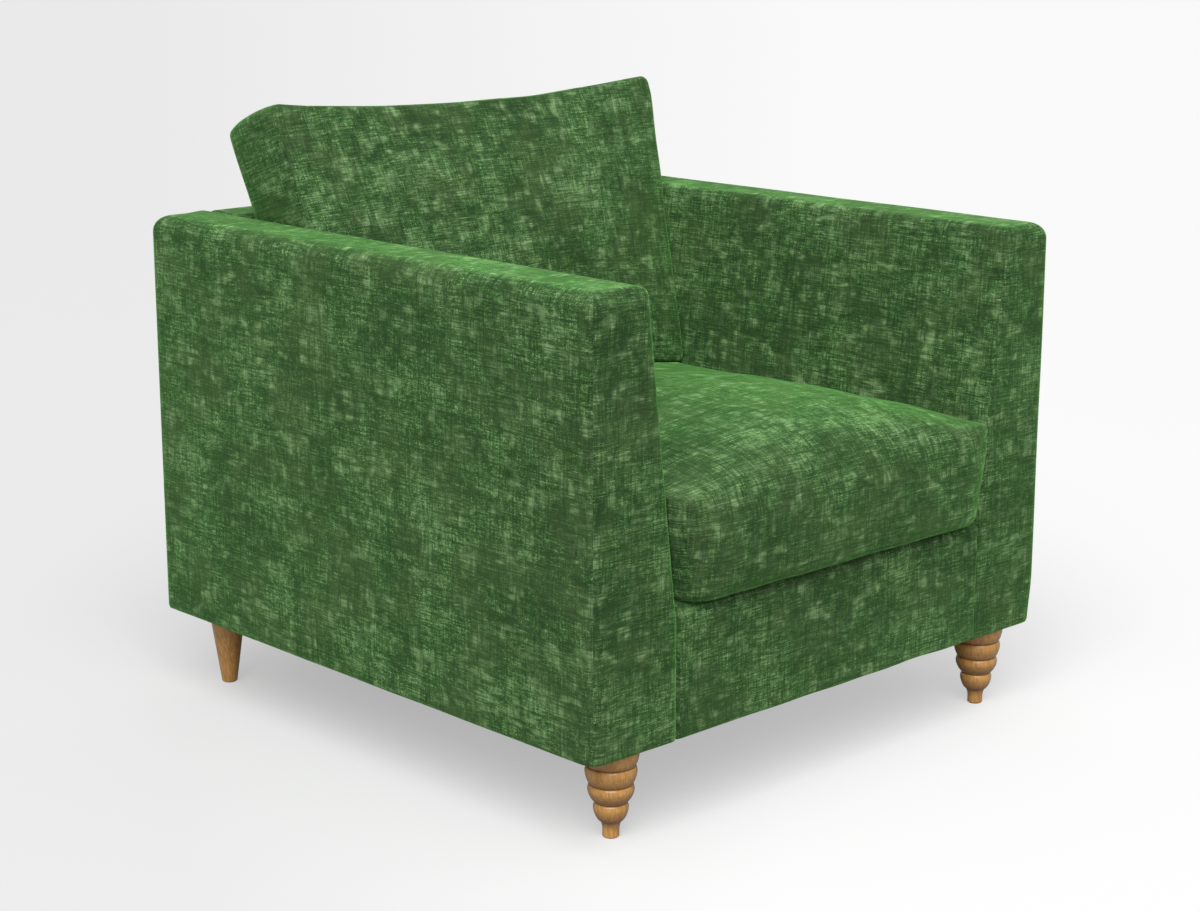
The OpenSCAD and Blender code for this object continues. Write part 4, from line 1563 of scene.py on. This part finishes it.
    def seams(self, net: Net, points: Array) -> Array:
        """Marks the seams that join the border to the two panels.

        Args:
            net: The piece's net.
            points: Its knots.

        Returns:
            How deep each knot lies in a seam, from 0 to 1.
        """
        across, through, up = (1 - np.abs(net.share)).T
        rim = np.minimum(across * self.top_half, up * self.height / 2)
        gap = np.where(through == 0, rim, through * self.thick / 2)
        return np.exp(-((gap / self.seam_w) ** 2))

    def cover(self, net: Net, points: Array) -> Array:
        """Lays the cloth along the cushion's own lean."""
        return super().cover(net, self.local)


# Thin pieces


def bent_wire(path: Array, radius: float, sides: int) -> tuple[Array, list[tuple[int, ...]]]:
    """Draws a round wire along a path, with closed ends.

    Args:
        path: The wire's middle line.
        radius: Its radius.
        sides: Sides of its section.

    Returns:
        Its points and faces.
    """
    points, faces = [], []
    for k, at in enumerate(path):
        way = path[min(k + 1, len(path) - 1)] - path[max(k - 1, 0)]
        way = way / np.linalg.norm(way)
        side = np.cross(way, (0.0, 1.0, 0.0) if abs(way[1]) < 0.9 else (1.0, 0.0, 0.0))
        side /= np.linalg.norm(side)
        other = np.cross(way, side)
        for j in range(sides):
            turn = 2 * math.pi * j / sides
            points.append(at + radius * (math.cos(turn) * side + math.sin(turn) * other))
        if k:
            base, last = k * sides, (k - 1) * sides
            pairs = [(j, (j + 1) % sides) for j in range(sides)]
            faces += [(last + j, last + n, base + n, base + j) for j, n in pairs]
    faces.append(tuple(range(sides))[::-1])
    faces.append(tuple((len(path) - 1) * sides + j for j in range(sides)))
    return np.array(points), faces


@dataclass
class DustCover:
    """Black cloth under the body, stapled to the base; it is drawn flat, without its turned-in edge."""

    meshes: int = 72
    sag: float = 2.5 * MM
    lift: float = 0.3 * MM
    rim: float = 0.25
    wave: float = 300 * MM
    seed: int = 9
    thick: float = 0.5 * MM
    staple_pitch: float = 46 * MM
    staple_w: float = 10 * MM
    staple_leg: float = 1.4 * MM
    staple_in: float = 7 * MM
    staple_drop: float = 0.6 * MM
    wire_r: float = 0.5 * MM
    wire_sides: int = 6

    def make(self) -> None:
        """Builds the cloth and its staples."""
        low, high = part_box("dust_cover")
        self.level = (low.z + high.z) / 2
        u, v = (g.ravel() for g in np.meshgrid(*[np.linspace(-1, 1, self.meshes + 1)] * 2, indexing="ij"))
        x = (low.x + high.x) / 2 + u * (high.x - low.x) / 2
        y = (low.y + high.y) / 2 + v * (high.y - low.y) / 2
        flat = rows(x, y, np.full_like(x, self.level))
        loose = smooth(np.minimum(1 - np.abs(u), 1 - np.abs(v)), 0.0, self.rim)
        flat[:, 2] -= self.sag * loose * (0.6 + 0.4 * ripple(flat, self.wave, self.seed)) - self.lift
        knots = np.arange(len(flat)).reshape(self.meshes + 1, -1)
        quads = meshes_of(knots.T)
        cloth = object_of("dust_cloth", flat, quads)
        skin = cloth.modifiers.new("thickness", "SOLIDIFY")
        skin.thickness = self.thick
        skin.offset = 0.0
        cloth.data.materials.append(DUST_CLOTH.material())
        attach(cloth, "chair_body")
        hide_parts("dust_cover")
        self.staple(low, high)
        LOG.info("dust_cloth: %d meshes, on chair_body", len(quads))

    def staple(self, low: Vector, high: Vector) -> None:
        """Drives staples round the cloth's edge.

        Args:
            low, high: Corners of the cloth.
        """
        points: list[Array] = []
        faces: list[tuple[int, ...]] = []
        bends = ((-0.5, 1), (-0.5, 0.25), (-0.42, 0), (0.42, 0), (0.5, 0.25), (0.5, 1))
        for axis in (0, 1):
            length = (high - low)[axis] - 4 * self.staple_in
            count = int(length / self.staple_pitch)
            for side in (low[1 - axis] + self.staple_in, high[1 - axis] - self.staple_in):
                for k in range(count + 1):
                    wire = np.zeros((len(bends), 3))
                    wire[:, axis] = low[axis] + 2 * self.staple_in + length * k / count
                    wire[:, axis] += [across * self.staple_w for across, _ in bends]
                    wire[:, 1 - axis] = side
                    wire[:, 2] = self.level - self.staple_drop
                    wire[:, 2] += [up * self.staple_leg for _, up in bends]
                    made, rings = bent_wire(wire, self.wire_r, self.wire_sides)
                    start = sum(len(p) for p in points)
                    faces += [tuple(start + n for n in face) for face in rings]
                    points.append(made)
        staples = object_of("dust_cloth_staples", np.concatenate(points), faces)
        staples.data.materials.append(STEEL.material())
        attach(staples, "chair_body")
        LOG.info("dust_cloth_staples: %d faces, on chair_body", len(faces))


# Hard pieces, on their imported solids


@dataclass(frozen=True)
class HardPieces:
    """Finishes of the frame, legs, springs and fixings."""

    legs: tuple[str, ...] = ("front_leg_left", "front_leg_right", "back_leg_left", "back_leg_right")
    boards: tuple[str, ...] = ("arm_board_left", "arm_board_right", "back_board")
    metal: tuple[str, ...] = ("seat_springs", "spring_clips", "leg_bolts", "insert_nuts", "corner_screws",
                              "seat_zip_slider")

    def dress(self) -> None:
        """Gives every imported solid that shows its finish."""
        timber = [part["node"] for part in frame["record"]["subparts"] if part["material_slot"] == "timber"]
        self.coat(self.legs, OAK)
        self.coat(self.boards, BOARD)
        self.coat(self.metal, STEEL)
        self.coat(("back_webs",), WEBBING)
        self.coat(("seat_zip",), ZIP_TAPE)
        for node in timber:
            low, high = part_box(node)
            size = high - low
            self.coat((node,), softwood(max(range(3), key=lambda k: size[k])))

    @staticmethod
    def coat(nodes: tuple[str, ...], finish: Finish) -> None:
        """Puts a finish on solids.

        Args:
            nodes: The solids' names.
            finish: Their finish.
        """
        for node in nodes:
            for place in frame["nodes"][node].material_slots:
                place.link = "OBJECT"
                place.material = finish.material()
        LOG.info("%s: %s", finish.name, ", ".join(nodes))


# Studio


@dataclass(frozen=True)
class Studio:
    """Camera, pale floor and soft lamps."""

    eye: tuple[float, float, float] = (-2.2660, -2.3848, 1.1453)
    heading: float = math.radians(43.505)
    down: float = math.radians(13.577)
    roll: float = math.radians(0.05)
    lens: float = 72.12
    film: float = 36.0
    far: float = 200.0
    floor_half: float = 60.0
    floor_glow: float = 0.5
    floor_glow_power: float = 1.1
    floor_left: Colour = (0.725, 0.725, 0.725)
    floor_right: Colour = (0.840, 0.840, 0.840)
    floor_fan: tuple[float, float] = (-0.185, 0.085)
    floor_near: float = 0.5
    floor_bounce: Colour = (0.36, 0.36, 0.36)
    skylight: float = 0.52
    daylight: float = 2.75
    daylight_soft: float = math.radians(50)
    daylight_at: tuple[float, float, float] = (0.0, 0.0, 3.0)
    daylight_way: tuple[float, float, float] = (0.50, 0.46, -0.73)
    box_power: float = 7.0
    box_size: float = 0.8
    box_at: tuple[float, float, float] = (-0.45, -0.55, 1.9)
    box_way: tuple[float, float, float] = (0.45, 0.45, -1.4)

    def build(self) -> None:
        """Sets the studio up."""
        self.camera()
        self.floor()
        self.world()
        self.lamps()

    def camera(self) -> None:
        """Stands the camera where the chair was seen from."""
        data = bpy.data.cameras.new("camera")
        data.lens, data.sensor_width, data.clip_end = self.lens, self.film, self.far
        camera = bpy.data.objects.new("camera", data)
        bpy.context.scene.collection.objects.link(camera)
        turn = Matrix.Rotation(-self.heading, 4, "Z") @ Matrix.Rotation(math.pi / 2 - self.down, 4, "X")
        camera.matrix_world = Matrix.Translation(self.eye) @ turn @ Matrix.Rotation(self.roll, 4, "Z")
        bpy.context.scene.camera = camera

    def floor(self) -> None:
        """Lays the pale floor, with painted shade that makes it slightly darker to the left."""
        h = self.floor_half
        corners = np.array([(-h, -h, 0), (h, -h, 0), (h, h, 0), (-h, h, 0)])
        floor = object_of("floor", corners, [(0, 1, 2, 3)])
        material = bpy.data.materials.new("pale_floor")
        material.use_nodes = True
        material.node_tree.nodes.clear()
        board = NodeBoard(material.node_tree)
        axes = board.add("SeparateXYZ", {0: board.place()}).outputs
        # Painted shade: the floor's colour darkens towards the left of the view.
        c, s = math.cos(self.heading), math.sin(self.heading)
        across = board.weigh((axes[0], c), (axes[1], -s), (1.0, self.eye[1] * s - self.eye[0] * c))
        away = board.weigh((axes[0], s), (axes[1], c), (1.0, -self.eye[0] * s - self.eye[1] * c))
        fan = board.math("DIVIDE", across, board.math("MAXIMUM", away, self.floor_near))
        wires = {"Value": fan, "From Min": self.floor_fan[0], "From Max": self.floor_fan[1]}
        tone = board.tint(board.add("MapRange", wires).outputs[0], self.floor_left, self.floor_right)
        lit = board.add("BsdfDiffuse", {"Color": tone})
        even = board.add("Emission", {"Color": tone, "Strength": self.floor_glow_power})
        shown = board.add("MixShader", {0: self.floor_glow, 1: lit.outputs[0], 2: even.outputs[0]})
        bounce = board.add("BsdfDiffuse", {"Color": (*self.floor_bounce, 1.0)})
        seen = board.add("LightPath").outputs["Is Camera Ray"]
        surface = board.add("MixShader", {0: seen, 1: bounce.outputs[0], 2: shown.outputs[0]})
        below = board.add("NewGeometry").outputs["Backfacing"]
        clear = board.add("BsdfTransparent")
        surface = board.add("MixShader", {0: below, 1: surface.outputs[0], 2: clear.outputs[0]})
        board.add("OutputMaterial", {"Surface": surface.outputs[0]})
        floor.data.materials.append(material)

    def world(self) -> None:
        """Fills the studio with soft light from all round."""
        world = bpy.data.worlds.new("studio")
        bpy.context.scene.world = world
        world.use_nodes = True
        world.node_tree.nodes.clear()
        board = NodeBoard(world.node_tree)
        white = (1.0, 1.0, 1.0, 1.0)
        sky = board.add("Background", {"Color": white, "Strength": self.skylight})
        backdrop = board.add("Background", {"Color": white, "Strength": 1.0})
        seen = board.add("LightPath").outputs["Is Camera Ray"]
        surface = board.add("MixShader", {0: seen, 1: sky.outputs[0], 2: backdrop.outputs[0]})
        board.add("OutputWorld", {"Surface": surface.outputs[0]})

    def lamps(self) -> None:
        """Adds wide, soft daylight from above, the left and the front, and a soft box over the seat."""
        sun = bpy.data.lights.new("daylight", "SUN")
        sun.energy, sun.angle = self.daylight, self.daylight_soft
        box = bpy.data.lights.new("soft_box", "AREA")
        box.energy, box.size = self.box_power, self.box_size
        for data, at, way in ((sun, self.daylight_at, self.daylight_way), (box, self.box_at, self.box_way)):
            lamp = bpy.data.objects.new(data.name, data)
            lamp.location = at
            lamp.rotation_euler = Vector(way).to_track_quat("-Z", "Y").to_euler()
            bpy.context.scene.collection.objects.link(lamp)


def main() -> None:
    """Builds the studio, dresses the chair and reports each piece."""
    logging.basicConfig(level=logging.INFO, format="%(message)s")
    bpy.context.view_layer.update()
    bpy.context.scene.view_settings.view_transform = "Standard"
    Studio().build()
    for hand in Hand:
        Armrest(hand=hand).make(VELVET)
    for piece in (BackPanel(), OutsideBack(), FrontPanel()):
        piece.make(VELVET)
    Deck().make(DECK_CLOTH)
    seat = SeatCushion()
    seat.make(VELVET)
    BackCushion(seat=seat).make(VELVET)
    DustCover().make()
    HardPieces().dress()


if __name__ == "__main__":
    main()
